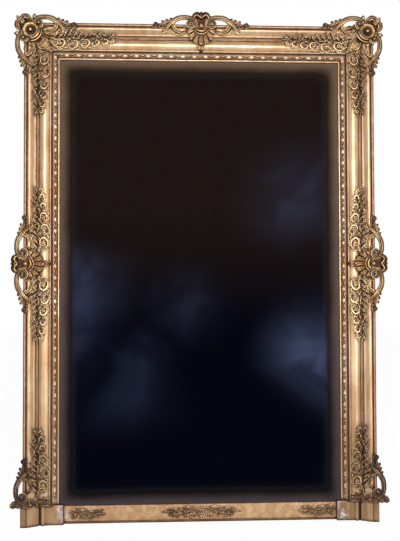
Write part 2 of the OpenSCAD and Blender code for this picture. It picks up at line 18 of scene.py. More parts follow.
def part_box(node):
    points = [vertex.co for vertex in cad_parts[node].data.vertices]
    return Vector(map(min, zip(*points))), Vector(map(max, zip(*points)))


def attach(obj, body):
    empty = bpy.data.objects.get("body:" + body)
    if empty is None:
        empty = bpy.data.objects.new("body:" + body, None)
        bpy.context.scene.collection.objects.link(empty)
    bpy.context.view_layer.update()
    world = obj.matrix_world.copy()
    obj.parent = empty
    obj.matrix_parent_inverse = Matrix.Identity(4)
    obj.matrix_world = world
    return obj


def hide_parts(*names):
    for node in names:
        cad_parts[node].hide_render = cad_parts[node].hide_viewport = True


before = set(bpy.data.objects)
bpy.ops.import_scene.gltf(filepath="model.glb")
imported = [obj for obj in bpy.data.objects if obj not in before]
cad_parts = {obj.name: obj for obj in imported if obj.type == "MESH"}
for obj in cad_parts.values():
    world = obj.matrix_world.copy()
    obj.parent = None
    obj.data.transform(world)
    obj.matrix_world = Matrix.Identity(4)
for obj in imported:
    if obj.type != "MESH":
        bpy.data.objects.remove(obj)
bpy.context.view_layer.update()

# %% [markdown]
# Every ornament is modelled flat, in millimetres, as its maker would on a bench: X runs along
# the rail, Y outwards past the rail's edge, and Z forwards from the wall. One matrix then puts a
# finished casting on its rail. The sizes come from the frame's own boxes, so a changed frame
# moves the ornaments with it.

# %% Places on the frame
MM = 0.001
WALL_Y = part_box("left_stile")[1].y / MM
HALF_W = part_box("top_outer_moulding")[1].x / MM
TOP_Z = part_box("top_outer_moulding")[1].z / MM
BLOCK_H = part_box("left_plinth_block")[1].z / MM
BLOCK_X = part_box("right_plinth_block")[1].x / MM
BLOCK_W = BLOCK_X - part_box("right_plinth_block")[0].x / MM
TIMBER_T = WALL_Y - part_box("left_stile")[0].y / MM
FRIEZE_MID = 32.0
CREST_X = 2.0
SIDE_Z = 875.0
# The left corner's castings sit a little low, and the right corner's a little high.
CORNER_LIFTS = {"left": -5.0, "right": 5.0}


def on_top(x=0.0, lift=0.0):
    """Millimetres on the top rail, from its outer edge, to metres in the frame."""
    return Matrix(((MM, 0, 0, x * MM), (0, 0, -MM, WALL_Y * MM),
                   (0, MM, 0, (TOP_Z + lift) * MM), (0, 0, 0, 1)))


def on_left(z=0.0):
    """The same for the left side, where X runs upwards."""
    return Matrix(((0, -MM, 0, -HALF_W * MM), (0, 0, -MM, WALL_Y * MM),
                   (MM, 0, 0, z * MM), (0, 0, 0, 1)))


def on_frieze(x=0.0):
    """The same for the frieze, where Y runs up from the frieze's middle line."""
    return Matrix(((MM, 0, 0, x * MM), (0, 0, -MM, WALL_Y * MM),
                   (0, MM, 0, FRIEZE_MID * MM), (0, 0, 0, 1)))


MIRRORED = Matrix.Diagonal((-1, 1, 1, 1))
SIDES = {"left": Matrix.Identity(4), "right": MIRRORED}
DOWN_SIDE = Matrix(((0, -1, 0, 0), (-1, 0, 0, 0), (0, 0, 1, 0), (0, 0, 0, 1)))


def slid(t, o=0.0, h=0.0):
    return Matrix.Translation((t, o, h))


def step_up(value, low, high):
    """0 below low, 1 above high and a straight line between."""
    return min(1.0, max(0.0, (value - low) / (high - low)))


print("half width", round(HALF_W), "top", round(TOP_Z), "blocks", round(BLOCK_W), "x", round(BLOCK_H))

# %% [markdown]
# ## The camera
# The photograph was taken from a little below the middle of the frame and slightly to the left
# of it. The lens and the place were worked out from the frame's four outer corners, so the camera
# is set from real distances rather than by eye.

# %% Camera
IMAGE_H = 541
FOCAL_PX = 780
SENSOR = 36.0
CAMERA_AT = (-0.1339, -2.6884, 0.7769)
YAW, PITCH, ROLL = (radians(a) for a in (-2.829, 1.635, 0.157))

lens = bpy.data.cameras.new("camera")
lens.sensor_width = SENSOR
lens.lens = FOCAL_PX / IMAGE_H * SENSOR
camera = bpy.data.objects.new("camera", lens)
camera.matrix_world = (Matrix.Translation(CAMERA_AT) @ Matrix.Rotation(YAW, 4, "Z")
                       @ Matrix.Rotation(PITCH, 4, "X") @ Matrix.Rotation(ROLL, 4, "Y")
                       @ Matrix.Rotation(radians(90), 4, "X"))
bpy.context.scene.collection.objects.link(camera)
bpy.context.scene.camera = camera
bpy.context.scene.view_settings.view_transform = "Standard"
print("lens", round(lens.lens, 1), "mm")

# %% [markdown]
# ## Small helpers for node trees
# A material is a tree of nodes. A small class works on one tree: it makes a node, sets its options
# and fills its inputs, either with a plain value or by a link from another node's output. Sums
# then read almost like sums on paper.


# %% Node helpers
def srgb(r, g, b):
    """A colour as a screen shows it, 0 to 255, in the linear values that nodes use."""
    def linear(c):
        c = c / 255
        return c / 12.92 if c <= 0.04045 else ((c + 0.055) / 1.055) ** 2.4
    return (linear(r), linear(g), linear(b), 1.0)


class Nodes:
    """Works on one node tree. All but new and wire give the output of the node they make."""

    def __init__(self, tree):
        self.tree = tree

    def new(self, kind, inputs=(), **options):
        made = self.tree.nodes.new(kind)
        for key, value in options.items():
            setattr(made, key, value)
        self.wire(made.inputs, dict(inputs))
        return made

    def wire(self, sockets, values):
        """Fills sockets: an output is linked, and anything else is a plain value."""
        for key, value in values.items():
            if isinstance(value, bpy.types.NodeSocket):
                self.tree.links.new(value, sockets[key])
            else:
                sockets[key].default_value = value

    def math(self, operation, a, b=0.0, clamp=False):
        return self.new("ShaderNodeMath", {0: a, 1: b}, operation=operation, use_clamp=clamp).outputs[0]

    def add(self, a, b, clamp=False):
        return self.math("ADD", a, b, clamp)

    def minus(self, a, b):
        return self.math("SUBTRACT", a, b)

    def times(self, a, b, clamp=False):
        return self.math("MULTIPLY", a, b, clamp)

    def most(self, a, b, clamp=False):
        return self.math("MAXIMUM", a, b, clamp)

    def mix(self, share, a, b):
        return self.new("ShaderNodeMix", {0: share, 6: a, 7: b}, data_type="RGBA").outputs[2]

    def ramp(self, value, low, high, to_low=0.0, to_high=1.0):
        """Maps low..high to to_low..to_high smoothly, and holds the ends."""
        return self.new("ShaderNodeMapRange", {0: value, 1: low, 2: high, 3: to_low, 4: to_high},
                        interpolation_type="SMOOTHSTEP").outputs[0]

    def spot(self):
        return self.new("ShaderNodeTexCoord").outputs["Object"]

    def stretched(self, vector, scale, turn=(0, 0, 0)):
        return self.new("ShaderNodeMapping", {0: vector, 2: turn, 3: scale}).outputs[0]

    def speckle(self, vector, scale, detail=3.0, roughness=0.5, warp=0.0):
        return self.new("ShaderNodeTexNoise", {"Vector": vector, "Scale": scale, "Detail": detail,
                                               "Roughness": roughness, "Distortion": warp}).outputs[0]


def new_group(name, inputs, outputs):
    """A shared effect: its tree, its inputs to read from and its outputs to fill."""
    group = bpy.data.node_groups.new(name, "ShaderNodeTree")
    for label, kind, value in inputs:
        group.interface.new_socket(label, in_out="INPUT", socket_type=kind).default_value = value
    for label, kind in outputs:
        group.interface.new_socket(label, in_out="OUTPUT", socket_type=kind)
    way_in, way_out = group.nodes.new("NodeGroupInput"), group.nodes.new("NodeGroupOutput")
    return Nodes(group), way_in.outputs, way_out.inputs


def new_material(name):
    material = bpy.data.materials.new(name)
    material.use_nodes = True
    return material, Nodes(material.node_tree), material.node_tree.nodes["Principled BSDF"]


def dress(nodes, shader, skin, height, strength, depth):
    """Fills the shader's sockets and gives its surface a relief."""
    bump = nodes.new("ShaderNodeBump", {"Height": height, "Strength": strength, "Distance": depth})
    nodes.wire(shader.inputs, {**skin, "Normal": bump.outputs[0]})


def new_object(name, bm, material):
    """Turns a finished bmesh into an object of the scene."""
    mesh = bpy.data.meshes.new(name)
    bm.to_mesh(mesh)
    bm.free()
    mesh.materials.append(material)
    made = bpy.data.objects.new(name, mesh)
    bpy.context.scene.collection.objects.link(made)
    return made


FLOAT, COLOUR, VECTOR = "NodeSocketFloat", "NodeSocketColor", "NodeSocketVector"
print("helpers ready")

# %% [markdown]
# ## The studio
# A mirror shows the room, so its room has to be lit and dressed as a studio would. The floor and
# the world are plain and pale. A dark dome stands in front, as a photographer hangs a dark cloth
# before a mirror, and only reflections see it: it hides the white studio from the glass. The dome
# glows faintly, a painted reflection of a dim room: warm brown up high and dark blue lower down,
# with faint bluish patches of painted daylight, broken up by noise and faded out over the floor.
# Three soft boxes light the gilding. Light linking keeps them off the glass, where they would show
# as white squares from the side, and a fourth lights only the glass and its haze.


# %% Floor and world
def seen_plainly(nodes):
    """1 for camera, glossy and transmission rays, and 0 for the rest."""
    rays = nodes.new("ShaderNodeLightPath").outputs
    seen = nodes.most(rays["Is Camera Ray"], rays["Is Glossy Ray"])
    return nodes.most(seen, rays["Is Transmission Ray"])


FILL_LEVEL = 0.24
world = bpy.data.worlds.new("studio")
bpy.context.scene.world = world
world.use_nodes = True
sky = Nodes(world.node_tree)
backdrop = world.node_tree.nodes["Background"].inputs
level = sky.new("ShaderNodeMapRange", {0: seen_plainly(sky), 3: FILL_LEVEL, 4: 1.0}).outputs[0]
sky.wire(backdrop, {"Color": (1, 1, 1, 1), "Strength": level})

WHITE_SHARE = 0.97
floor_material, nodes, shader = new_material("pale_floor")
nodes.wire(shader.inputs, {"Base Color": (0.9, 0.9, 0.9, 1), "Roughness": 0.9})
white = nodes.new("ShaderNodeEmission", {"Color": (1, 1, 1, 1), "Strength": 1.0})
share = nodes.times(seen_plainly(nodes), WHITE_SHARE)
lit = nodes.new("ShaderNodeMixShader", {0: share, 1: shader.outputs[0], 2: white.outputs[0]})
nodes.wire(nodes.tree.nodes["Material Output"].inputs, {"Surface": lit.outputs[0]})

FLOOR_HALF = 14.0
floor_bm = bmesh.new()
bmesh.ops.create_grid(floor_bm, x_segments=2, y_segments=2, size=FLOOR_HALF)
new_object("floor", floor_bm, floor_material)
print("floor", 2 * FLOOR_HALF, "m square")


# %% Glowing dome
reflection_dome_material, nodes, shader = new_material("glowing_reflection_dome")
nodes.tree.nodes.remove(shader)
spot = nodes.spot()
flat = nodes.new("ShaderNodeVectorMath", {0: spot, 1: (1, 0, 1)}, operation="MULTIPLY").outputs[0]
height = nodes.new("ShaderNodeSeparateXYZ", {0: spot}).outputs["Z"]
REFLECTED_ROOM_HIGH, REFLECTED_ROOM_LOW = srgb(60, 46, 41), srgb(17, 19, 36)
DAYLIGHT = srgb(142, 158, 210)
# Where painted daylight glows on the dome: sideways, up, how far it spreads, how strong it is.
PATCHES = ((-1.6, 0.85, 1.6, 0.75), (1.42, 0.2, 0.9, 0.55), (1.15, 1.72, 0.85, 0.18),
           (-0.35, 0.1, 0.6, 0.12), (0.1, 0.65, 0.7, 0.1))
PATCH_TOP = (1.35, 1.0)
NEARBY = (1.2, 3.2)


def glow(x, z, reach, level):
    """A soft round patch of painted light on the dome."""
    away = nodes.new("ShaderNodeVectorMath", {0: flat, 1: (x, 0, z)}, operation="DISTANCE")
    near = nodes.math("POWER", nodes.ramp(away.outputs["Value"], reach, 0.0), 2.0)
    return nodes.times(near, level)


# The dome glows with a painted reflection of a dim room: warm brown up high, dark blue lower down.
reflected_room = nodes.mix(nodes.ramp(height, 0.3, 1.7), REFLECTED_ROOM_LOW, REFLECTED_ROOM_HIGH)
patch = nodes.times(glow(*PATCHES[0]), nodes.ramp(height, *PATCH_TOP))
for numbers in PATCHES[1:]:
    patch = nodes.most(patch, glow(*numbers))
cloudy = nodes.ramp(nodes.speckle(flat, 1.9, 2.0, 0.5, 0.4), 0.38, 0.62, 0.5, 1.2)
far_off = nodes.new("ShaderNodeVectorMath", {0: spot}, operation="LENGTH").outputs["Value"]
patch = nodes.times(nodes.times(patch, cloudy), nodes.ramp(far_off, *NEARBY))
shine = nodes.new("ShaderNodeEmission", {"Color": nodes.mix(patch, reflected_room, DAYLIGHT), "Strength": 0.55})
nodes.wire(nodes.tree.nodes["Material Output"].inputs, {"Surface": shine.outputs[0]})

SCREEN_R = 5.2
SCREEN_GAP = 0.16
RIM_Z = 0.004
screen_bm = bmesh.new()
bmesh.ops.create_uvsphere(screen_bm, u_segments=48, v_segments=24, radius=SCREEN_R)
for at, facing in (((0, -SCREEN_GAP, 0), (0, 1, 0)), ((0, 0, RIM_Z), (0, 0, -1))):
    everything = screen_bm.verts[:] + screen_bm.edges[:] + screen_bm.faces[:]
    bmesh.ops.bisect_plane(screen_bm, geom=everything, plane_co=at, plane_no=facing, clear_outer=True)
low_rim = [e for e in screen_bm.edges if all(v.co.z < RIM_Z + 0.006 for v in e.verts)]
bmesh.ops.contextual_create(screen_bm, geom=low_rim)
screen = new_object("glowing_dome_screen", screen_bm, reflection_dome_material)
print("velvet dome", SCREEN_R, "m in radius,", len(PATCHES), "patches of daylight")
for rays in ("camera", "diffuse", "shadow", "transmission", "volume_scatter"):
    setattr(screen, "visible_" + rays, False)


# %% Lamps
def plate_only(name, state="INCLUDE"):
    """Holds the mirror plate. A lamp that uses it lights only the plate, or with EXCLUDE all else."""
    group = bpy.data.collections.new(name)
    group.objects.link(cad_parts["mirror_plate"])
    group.collection_objects[0].light_linking.link_state = state
    return group


def soft_box(name, at, aim, size, watts, colour, lit):
    """A square lamp in front of the mirror. Colours stay close to white."""
    lamp = bpy.data.lights.new(name, "AREA")
    lamp.shape = "RECTANGLE"
    lamp.size, lamp.size_y = size
    lamp.energy = watts
    lamp.color = colour
    box = bpy.data.objects.new(name, lamp)
    aim_at = Vector(aim) - Vector(at)
    box.matrix_world = Matrix.Translation(at) @ aim_at.to_track_quat("-Z", "Y").to_matrix().to_4x4()
    box.light_linking.receiver_collection = lit
    bpy.context.scene.collection.objects.link(box)
    return box


MIDDLE = (0, 0, 0.85)
FRONT_AT, FRONT_AIM, FRONT_SIZE = (0.1, -2.7, 1.4), (0, 0, 1.3), (1.4, 0.8)
all_but_glass = plate_only("all_but_glass", "EXCLUDE")
soft_box("key_light", (2.0, -2.3, 0.65), MIDDLE, (1.0, 1.2), 26, (1.0, 0.98, 0.95), all_but_glass)
soft_box("fill_light", (-1.9, -2.3, 0.6), MIDDLE, (1.0, 1.1), 12, (1.0, 0.98, 0.96), all_but_glass)
soft_box("front_light", FRONT_AT, FRONT_AIM, FRONT_SIZE, 66, (1.0, 0.98, 0.96), all_but_glass)
haze_light = soft_box("haze_light", FRONT_AT, FRONT_AIM, FRONT_SIZE, 101, (1.0, 0.98, 0.97),
                      plate_only("only_glass"))
haze_light.visible_glossy = False

# %% [markdown]
# ## Worn gilding
# Leaf gold is a thin metal skin over red clay and white gesso. A century of dusting rubs it off
# the edges, so the clay shows there; on the ornaments and the band that edge colour is pale, a
# painted highlight. Hollows are darkened by ambient occlusion, partly dirt and old varnish, partly
# painted shade, and the faces that look away from the front are darkened as painted shade. All the
# gilded materials share this, so it is a node group: the edge wear follows the mesh's sharpness and
# the grime and shade follow ambient occlusion. Three attributes let a piece say more: tone where it
# is darkest, partly dirt and partly painted shade, rub where cloths have polished it down to the
# clay, and lost where the gold has gone.

# %% The gilding group
gilding, gin, gout = new_group("worn_gilding_and_painted_shade", [
    ("Gold", COLOUR, srgb(212, 168, 116)), ("Pale gold", COLOUR, srgb(240, 206, 166)),
    ("Bole", COLOUR, srgb(138, 78, 50)), ("Grime", COLOUR, srgb(78, 46, 22)),
    ("Edge", COLOUR, srgb(50, 28, 16)), ("Gesso", COLOUR, srgb(206, 194, 200)), ("Wear", FLOAT, 0.5),
    ("Dirt", FLOAT, 0.6), ("Shade from", FLOAT, -0.6), ("Bare", FLOAT, 0.0), ("Tone", FLOAT, 0.0),
    ("Rub", FLOAT, 0.0), ("Lost", FLOAT, 0.0)],
    [("Color", COLOUR), ("Roughness", FLOAT), ("Metallic", FLOAT), ("Height", FLOAT)])
g = gilding
here = g.new("ShaderNodeTexCoord").outputs
broad = g.speckle(here["Object"], 5.0, 3.0)
fine = g.speckle(here["Object"], 170.0, 4.0, 0.65)
patchy = g.speckle(here["Object"], 34.0, 6.0, 0.72, 0.4)
streaky = g.speckle(g.stretched(here["Object"], (9, 9, 2)), 6.0, 4.0)

gold_share = g.add(g.times(broad, 0.55), g.times(streaky, 0.45))
gold = g.mix(g.ramp(gold_share, 0.36, 0.64), gin["Gold"], gin["Pale gold"])

# Sharp edges take the bole colour: red clay on the mouldings, but a pale painted highlight on the ornaments,
# sprays, band and feet.
sharp = g.new("ShaderNodeNewGeometry").outputs["Pointiness"]
rubbed = g.times(g.ramp(sharp, 0.51, 0.60), gin["Wear"])
worn = g.ramp(g.add(patchy, g.times(rubbed, 0.32)), 0.60, 0.72)
rub = g.times(gin["Rub"], g.ramp(patchy, 0.3, 0.6, 0.35, 1.0))
bole_and_highlight_share = g.most(g.times(worn, gin["Wear"]), rub, clamp=True)
gold = g.mix(bole_and_highlight_share, gold, gin["Bole"])

lost = g.add(gin["Bare"], g.times(gin["Lost"], 0.30))
bare = g.ramp(g.add(patchy, lost), 0.76, 0.90)
gold = g.mix(bare, gold, gin["Gesso"])

# Ambient occlusion darkens hollows and the gaps between parts: partly dirt, partly painted shade.
AO_REACH = 0.013
open_sky = g.new("ShaderNodeAmbientOcclusion", {"Distance": AO_REACH}, samples=8).outputs["AO"]
buried = g.times(g.minus(1.0, open_sky), gin["Dirt"])
hollow_dirt_and_shade = g.ramp(buried, 0.03, 0.42)
# Faces that turn away from the front darken towards the Edge colour: painted shade.
facing = g.new("ShaderNodeSeparateXYZ", {0: here["Normal"]}).outputs["Y"]
turned_away = g.ramp(facing, gin["Shade from"], g.add(gin["Shade from"], 0.5))
turned_away = g.times(turned_away, g.ramp(facing, -0.12, 0.0, 1.0, 0.4))
# The tone attribute adds its own darkening, partly dirt and partly painted shade.
dark = g.times(g.add(hollow_dirt_and_shade, gin["Tone"]), g.ramp(patchy, 0.25, 0.6, 0.72, 1.12), clamp=True)
skin = g.mix(dark, gold, gin["Grime"])
# The faces turned away and the deepest hollows go nearly black: painted shade, with some grime.
deep_shade_and_grime = g.most(g.times(turned_away, 0.85), g.times(g.ramp(buried, 0.32, 0.8), 0.9), clamp=True)
skin = g.mix(deep_shade_and_grime, skin, gin["Edge"])
dark = g.most(dark, deep_shade_and_grime)

rough = g.add(g.times(fine, 0.22), 0.26)
rough = g.add(rough, g.times(dark, 0.3))
rough = g.add(rough, g.times(bole_and_highlight_share, 0.16), clamp=True)
kept = g.times(g.minus(1.0, g.times(dark, 0.75)), g.minus(1.0, g.times(bole_and_highlight_share, 0.6)))
kept = g.times(kept, g.minus(1.0, bare))
relief = g.add(g.times(fine, 0.35), g.times(patchy, 0.65))
relief = g.minus(relief, g.times(worn, 0.25))
g.wire(gout, {"Color": skin, "Roughness": rough, "Metallic": g.times(kept, 0.5), "Height": relief})
print("gilding group", len(g.tree.nodes), "nodes")

# %% [markdown]
# Each gilded material places the group with its own colours and amounts. The mouldings are rubbed
# smooth. The ornaments darken more in their hollows, partly dirt and partly painted shade, and
# their edges take a pale painted highlight where the mouldings show red clay. The sprays on the
# top rail and at the middles of the sides get a brighter copy of the ornaments' gilding, painted
# light. The sight moulding is browner, the feet are nearly black, and the plinth blocks and the
# frieze have lost gold down to the gesso.

# %% Gilded materials
AMOUNTS = ("Wear", "Dirt", "Bare", "Shade from")
COLOURS = ("Gold", "Pale gold", "Bole", "Grime")
# Each row has the amounts, then the colours, and last how strong the relief is.
# Where a row's bole colour is pale, it is a painted highlight on sharp edges, not clay.
GILDINGS = {
    "moulding": (0.55, 0.42, 0.0, -0.6, (204, 163, 119), (234, 203, 165), (138, 78, 50), (94, 52, 28), 0.35),
    "sight": (0.45, 0.9, 0.0, -0.6, (204, 160, 112), (236, 206, 172), (138, 78, 50), (78, 46, 22), 0.4),
    "band": (0.3, 1.5, 0.0, -0.85, (204, 160, 120), (236, 202, 166), (250, 222, 188), (84, 50, 30), 0.3),
    "frieze": (0.15, 0.7, 0.02, -0.6, (216, 182, 138), (230, 202, 160), (152, 106, 64), (78, 46, 22), 0.5),
    "plinth": (0.45, 1.0, 0.03, -0.6, (136, 105, 74), (180, 146, 106), (120, 76, 46), (78, 46, 22), 0.5),
    "ornament": (0.9, 1.9, 0.0, -0.92, (182, 134, 82), (236, 189, 132), (255, 224, 172), (76, 43, 20), 0.35),
    "spray": (1.2, 1.65, 0.0, -0.86, (232, 184, 126), (254, 214, 158), (255, 228, 180), (96, 56, 28), 0.35),
    "foot": (0.8, 2.4, 0.0, -0.97, (98, 70, 44), (152, 113, 74), (216, 178, 130), (50, 31, 19), 0.35),
    "leaf": (0.8, 2.1, 0.0, -0.95, (122, 90, 60), (176, 135, 92), (232, 194, 146), (54, 34, 21), 0.35)}


def gilded(name, row):
    material, nodes, shader = new_material(name + "_gold")
    values = {label: nodes.new("ShaderNodeAttribute", attribute_name=label.lower()).outputs["Fac"]
              for label in ("Tone", "Rub", "Lost")}
    values.update(zip(AMOUNTS, row))
    values.update((label, srgb(*rgb)) for label, rgb in zip(COLOURS, row[len(AMOUNTS):]))
    skin = nodes.new("ShaderNodeGroup", values, node_tree=gilding.tree).outputs
    dress(nodes, shader, {"Base Color": skin["Color"], "Roughness": skin["Roughness"],
                          "Metallic": skin["Metallic"]}, skin["Height"], row[-1], 0.0012)
    return material


gold_of = {name: gilded(name, row) for name, row in GILDINGS.items()}
print("gilded", sorted(gold_of))

# %% [markdown]
# ## Wood, metal and glass
# The back is plain joiner's softwood, the keys are oak, the hangers are old brass and the screws
# are steel. Wood needs a direction, so its group takes coordinates that the material has already
# stretched along the board.

# %% Wood group
timber, win, wout = new_group("timber", [
    ("Vector", VECTOR, (0, 0, 0)), ("Light", COLOUR, srgb(206, 170, 122)),
    ("Dark", COLOUR, srgb(150, 106, 64)), ("Age", FLOAT, 0.4)],
    [("Color", COLOUR), ("Roughness", FLOAT), ("Height", FLOAT)])
rings = timber.new("ShaderNodeTexWave", {"Vector": win["Vector"], "Scale": 2.4, "Distortion": 7.0,
                                         "Detail": 3.0, "Detail Scale": 0.9},
                   wave_type="RINGS", rings_direction="Z").outputs[1]
fibre = timber.speckle(win["Vector"], 26.0, 5.0, 0.7)
stain = timber.speckle(timber.spot(), 3.4, 5.0, 0.6, 0.8)
share = timber.add(timber.times(rings, 0.55), timber.times(fibre, 0.45))
wood = timber.mix(timber.ramp(share, 0.25, 0.8), win["Light"], win["Dark"])
old = timber.times(timber.ramp(stain, 0.4, 0.75), win["Age"])
timber.wire(wout, {"Color": timber.mix(old, wood, srgb(74, 56, 42)),
                   "Roughness": timber.add(timber.times(fibre, 0.25), 0.58), "Height": share})


def wooden(name, stretch, turn=(0, 0, 0), **values):
    material, nodes, shader = new_material(name)
    values["Vector"] = nodes.stretched(nodes.spot(), stretch, turn)
    skin = nodes.new("ShaderNodeGroup", values, node_tree=timber.tree).outputs
    dress(nodes, shader, {"Base Color": skin["Color"], "Roughness": skin["Roughness"]},
          skin["Height"], 0.3, 0.0008)
    return material


ALONG_X = (0, radians(90), 0)
pine_upright = wooden("pine_upright", (24, 24, 1.6), Age=0.5)
pine_level = wooden("pine_level", (1.6, 24, 24), ALONG_X, Age=0.5)
board_pine = wooden("board_pine", (1.3, 24, 24), ALONG_X, Age=0.4,
                    Light=srgb(184, 146, 102), Dark=srgb(120, 82, 50))
oak = wooden("oak", (30, 30, 12), (0, radians(45), 0), Light=srgb(158, 118, 74), Dark=srgb(96, 64, 38))
print("woods ready")


# %% Metals
def metallic(name, colour, dull, roughness, tarnish):
    material, nodes, shader = new_material(name)
    spot = nodes.spot()
    cloud = nodes.speckle(spot, 140.0, 5.0, 0.7)
    scratch = nodes.speckle(nodes.stretched(spot, (1, 14, 1)), 420.0, 3.0)
    share = nodes.ramp(cloud, 0.62 - tarnish * 0.4, 0.75)
    rough = nodes.add(nodes.times(share, 0.3), nodes.add(nodes.times(scratch, 0.12), roughness))
    dress(nodes, shader, {"Base Color": nodes.mix(share, colour, dull), "Roughness": rough,
                          "Metallic": 1.0}, scratch, 0.15, 0.0004)
    return material


brass = metallic("aged_brass", srgb(214, 176, 104), srgb(112, 82, 46), 0.22, 0.45)
steel = metallic("screw_steel", srgb(176, 174, 170), srgb(92, 74, 60), 0.3, 0.6)
print("metals ready")

# %% [markdown]
# The plate is old silvered glass, so it is a metal with almost no roughness. A brownish haze runs
# all round, about two fingers wide: partly silver oxidised where damp crept in from the frame,
# partly a painted reflection of the frame's edge, and warmer at the top than lower down. A few
# dark specks of foxing lie outside the middle. The haze is worked out from the distance to the
# sight edge, in the plate's own coordinates, and falls off along a bell curve, so that it has no
# visible end.

# %% Silvered glass
LAP = 0.008
HAZE_REACH = 0.036
SILVER = (0.52, 0.52, 0.55, 1)
HAZE_LOW, HAZE_HIGH = srgb(86, 76, 80), srgb(116, 96, 79)
low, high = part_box("mirror_plate")
PLATE_MID_Z = (low.z + high.z) / 2
SIGHT_HALF_W = high.x - LAP
SIGHT_HALF_H = (high.z - low.z) / 2 - LAP
glass, nodes, shader = new_material("silvered_glass")
spot = nodes.spot()
split = nodes.new("ShaderNodeSeparateXYZ", {0: spot}).outputs
across = nodes.minus(SIGHT_HALF_W, nodes.math("ABSOLUTE", split["X"]))
lifted = nodes.minus(split["Z"], PLATE_MID_Z)
updown = nodes.minus(SIGHT_HALF_H, nodes.math("ABSOLUTE", lifted))
edge = nodes.new("ShaderNodeMath", {0: across, 1: updown, 2: 0.05}, operation="SMOOTH_MIN").outputs[0]
cloud = nodes.times(nodes.minus(nodes.speckle(spot, 7.0, 4.0, 0.6), 0.5), 0.02)
reach = nodes.math("DIVIDE", nodes.most(nodes.add(edge, cloud), 0.0), HAZE_REACH)
haze = nodes.math("EXPONENT", nodes.times(nodes.times(reach, reach), -1.0))
fox = nodes.ramp(nodes.speckle(spot, 120.0, 3.0, 0.6), 0.70, 0.76)
fox = nodes.times(fox, nodes.ramp(edge, 0.09, 0.0))
# The haze colour is partly oxidised silver and partly a painted reflection of the frame's edge.
haze_colour = nodes.mix(nodes.ramp(split["Z"], -0.1, 1.6), HAZE_LOW, HAZE_HIGH)
colour = nodes.mix(nodes.ramp(haze, 0.0, 0.35), SILVER, haze_colour)
dull = nodes.times(nodes.times(haze, haze), 0.55)
nodes.wire(shader.inputs, {"Base Color": nodes.mix(fox, colour, srgb(60, 44, 34)),
                           "Metallic": nodes.minus(1.0, dull),
                           "Roughness": nodes.add(nodes.times(haze, 0.08), 0.02)})
print("sight half width", round(SIGHT_HALF_W, 3), "half height", round(SIGHT_HALF_H, 3))


# %% Finish helper
def lay(bm, name, level):
    """Writes an attribute on every vertex, from a function of its place."""
    layer = bm.verts.layers.float.get(name) or bm.verts.layers.float.new(name)
    for v in bm.verts:
        v[layer] = level(v.co)


WELD = 2e-6


def finish_piece(name, bm, material, replaced=(), place=None, crisp=38):
    if place is not None:
        bmesh.ops.transform(bm, matrix=place, verts=bm.verts)
    bmesh.ops.remove_doubles(bm, verts=bm.verts, dist=WELD)
    bmesh.ops.recalc_face_normals(bm, faces=bm.faces)
    piece = new_object(name, bm, material)
    piece.data.shade_smooth()
    piece.data.set_sharp_from_angle(angle=radians(crisp))
    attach(piece, "frame")
    if replaced:
        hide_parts(*replaced)


# %% [markdown]
# ## The mouldings
# A moulding is one profile run along a rail. The profile is written as pairs of numbers: how far
# inwards from the frame's outer edge, and how far in front of the wall. Rounds and swells come
# from formulas. The run is made by extruding the profile face again and again, which leaves a
# ring of edges at every step: those rings are then moved by a fraction of a millimetre, because
# gesso scraped by hand is never dead straight. bisect_plane cuts the mitres.


# %% Profiles
def arc(centre, radius, start, end, steps):
    turns = [radians(start + (end - start) * i / steps) for i in range(steps + 1)]
    return [(centre[0] + radius * cos(a), centre[1] + radius * sin(a)) for a in turns]


def between(a, b, k):
    return tuple(p + (q - p) * k for p, q in zip(a, b))


def ogee(a, b, steps):
    return [(between(a, b, i / steps)[0], a[1] + (b[1] - a[1]) * (1 - cos(pi * i / steps)) / 2)
            for i in range(steps + 1)]


def swell(a, b, rise, steps):
    points = [between(a, b, i / steps) for i in range(steps + 1)]
    return [(u, h + rise * sin(pi * i / steps)) for i, (u, h) in enumerate(points)]


def hollow_curve(a, b, steps):
    return [(a[0] + (b[0] - a[0]) * (1 - cos(pi / 2 * i / steps)),
             a[1] + (b[1] - a[1]) * sin(pi / 2 * i / steps)) for i in range(steps + 1)]


def shifted(points, du):
    return [(u + du, h) for u, h in points]


BEAD_H, COVE_H = 86.0, 57.5
OUTER_W, INNER_W, SIGHT_W = 46.0, 47.0, 22.0
outer_face = (arc((4.5, BEAD_H - 4.5), 4.5, 180, 0, 10)
              + [(11, BEAD_H - 8), (12.5, BEAD_H - 4), (14, BEAD_H - 2)]
              + ogee((18, BEAD_H), (OUTER_W - 8, BEAD_H - 14), 10)
              + hollow_curve((OUTER_W - 8, BEAD_H - 14), (OUTER_W, COVE_H), 6)[1:])
inner_face = (swell((1, COVE_H), (INNER_W - 13, COVE_H + 4), 8.5, 14) + [(INNER_W - 11, COVE_H + 2)]
              + arc((INNER_W - 7, COVE_H + 3), 2.4, 180, 0, 7)
              + [(INNER_W - 3, COVE_H - 5.5), (INNER_W, COVE_H - 5.5)])
sight_face = ([(0, COVE_H - 3.5), (2, COVE_H - 1), (3, COVE_H - 1.5)]
              + swell((5, COVE_H - 3), (SIGHT_W - 7, COVE_H - 11), -1.2, 6)
              + arc((SIGHT_W - 3.4, COVE_H - 14), 3.4, 150, 0, 8))
RUNS = (("outer_moulding", outer_face, 0.0, OUTER_W, "moulding"),
        ("inner_moulding", inner_face, OUTER_W, INNER_W, "moulding"),
        ("sight_moulding", sight_face, OUTER_W + INNER_W, SIGHT_W, "sight"))
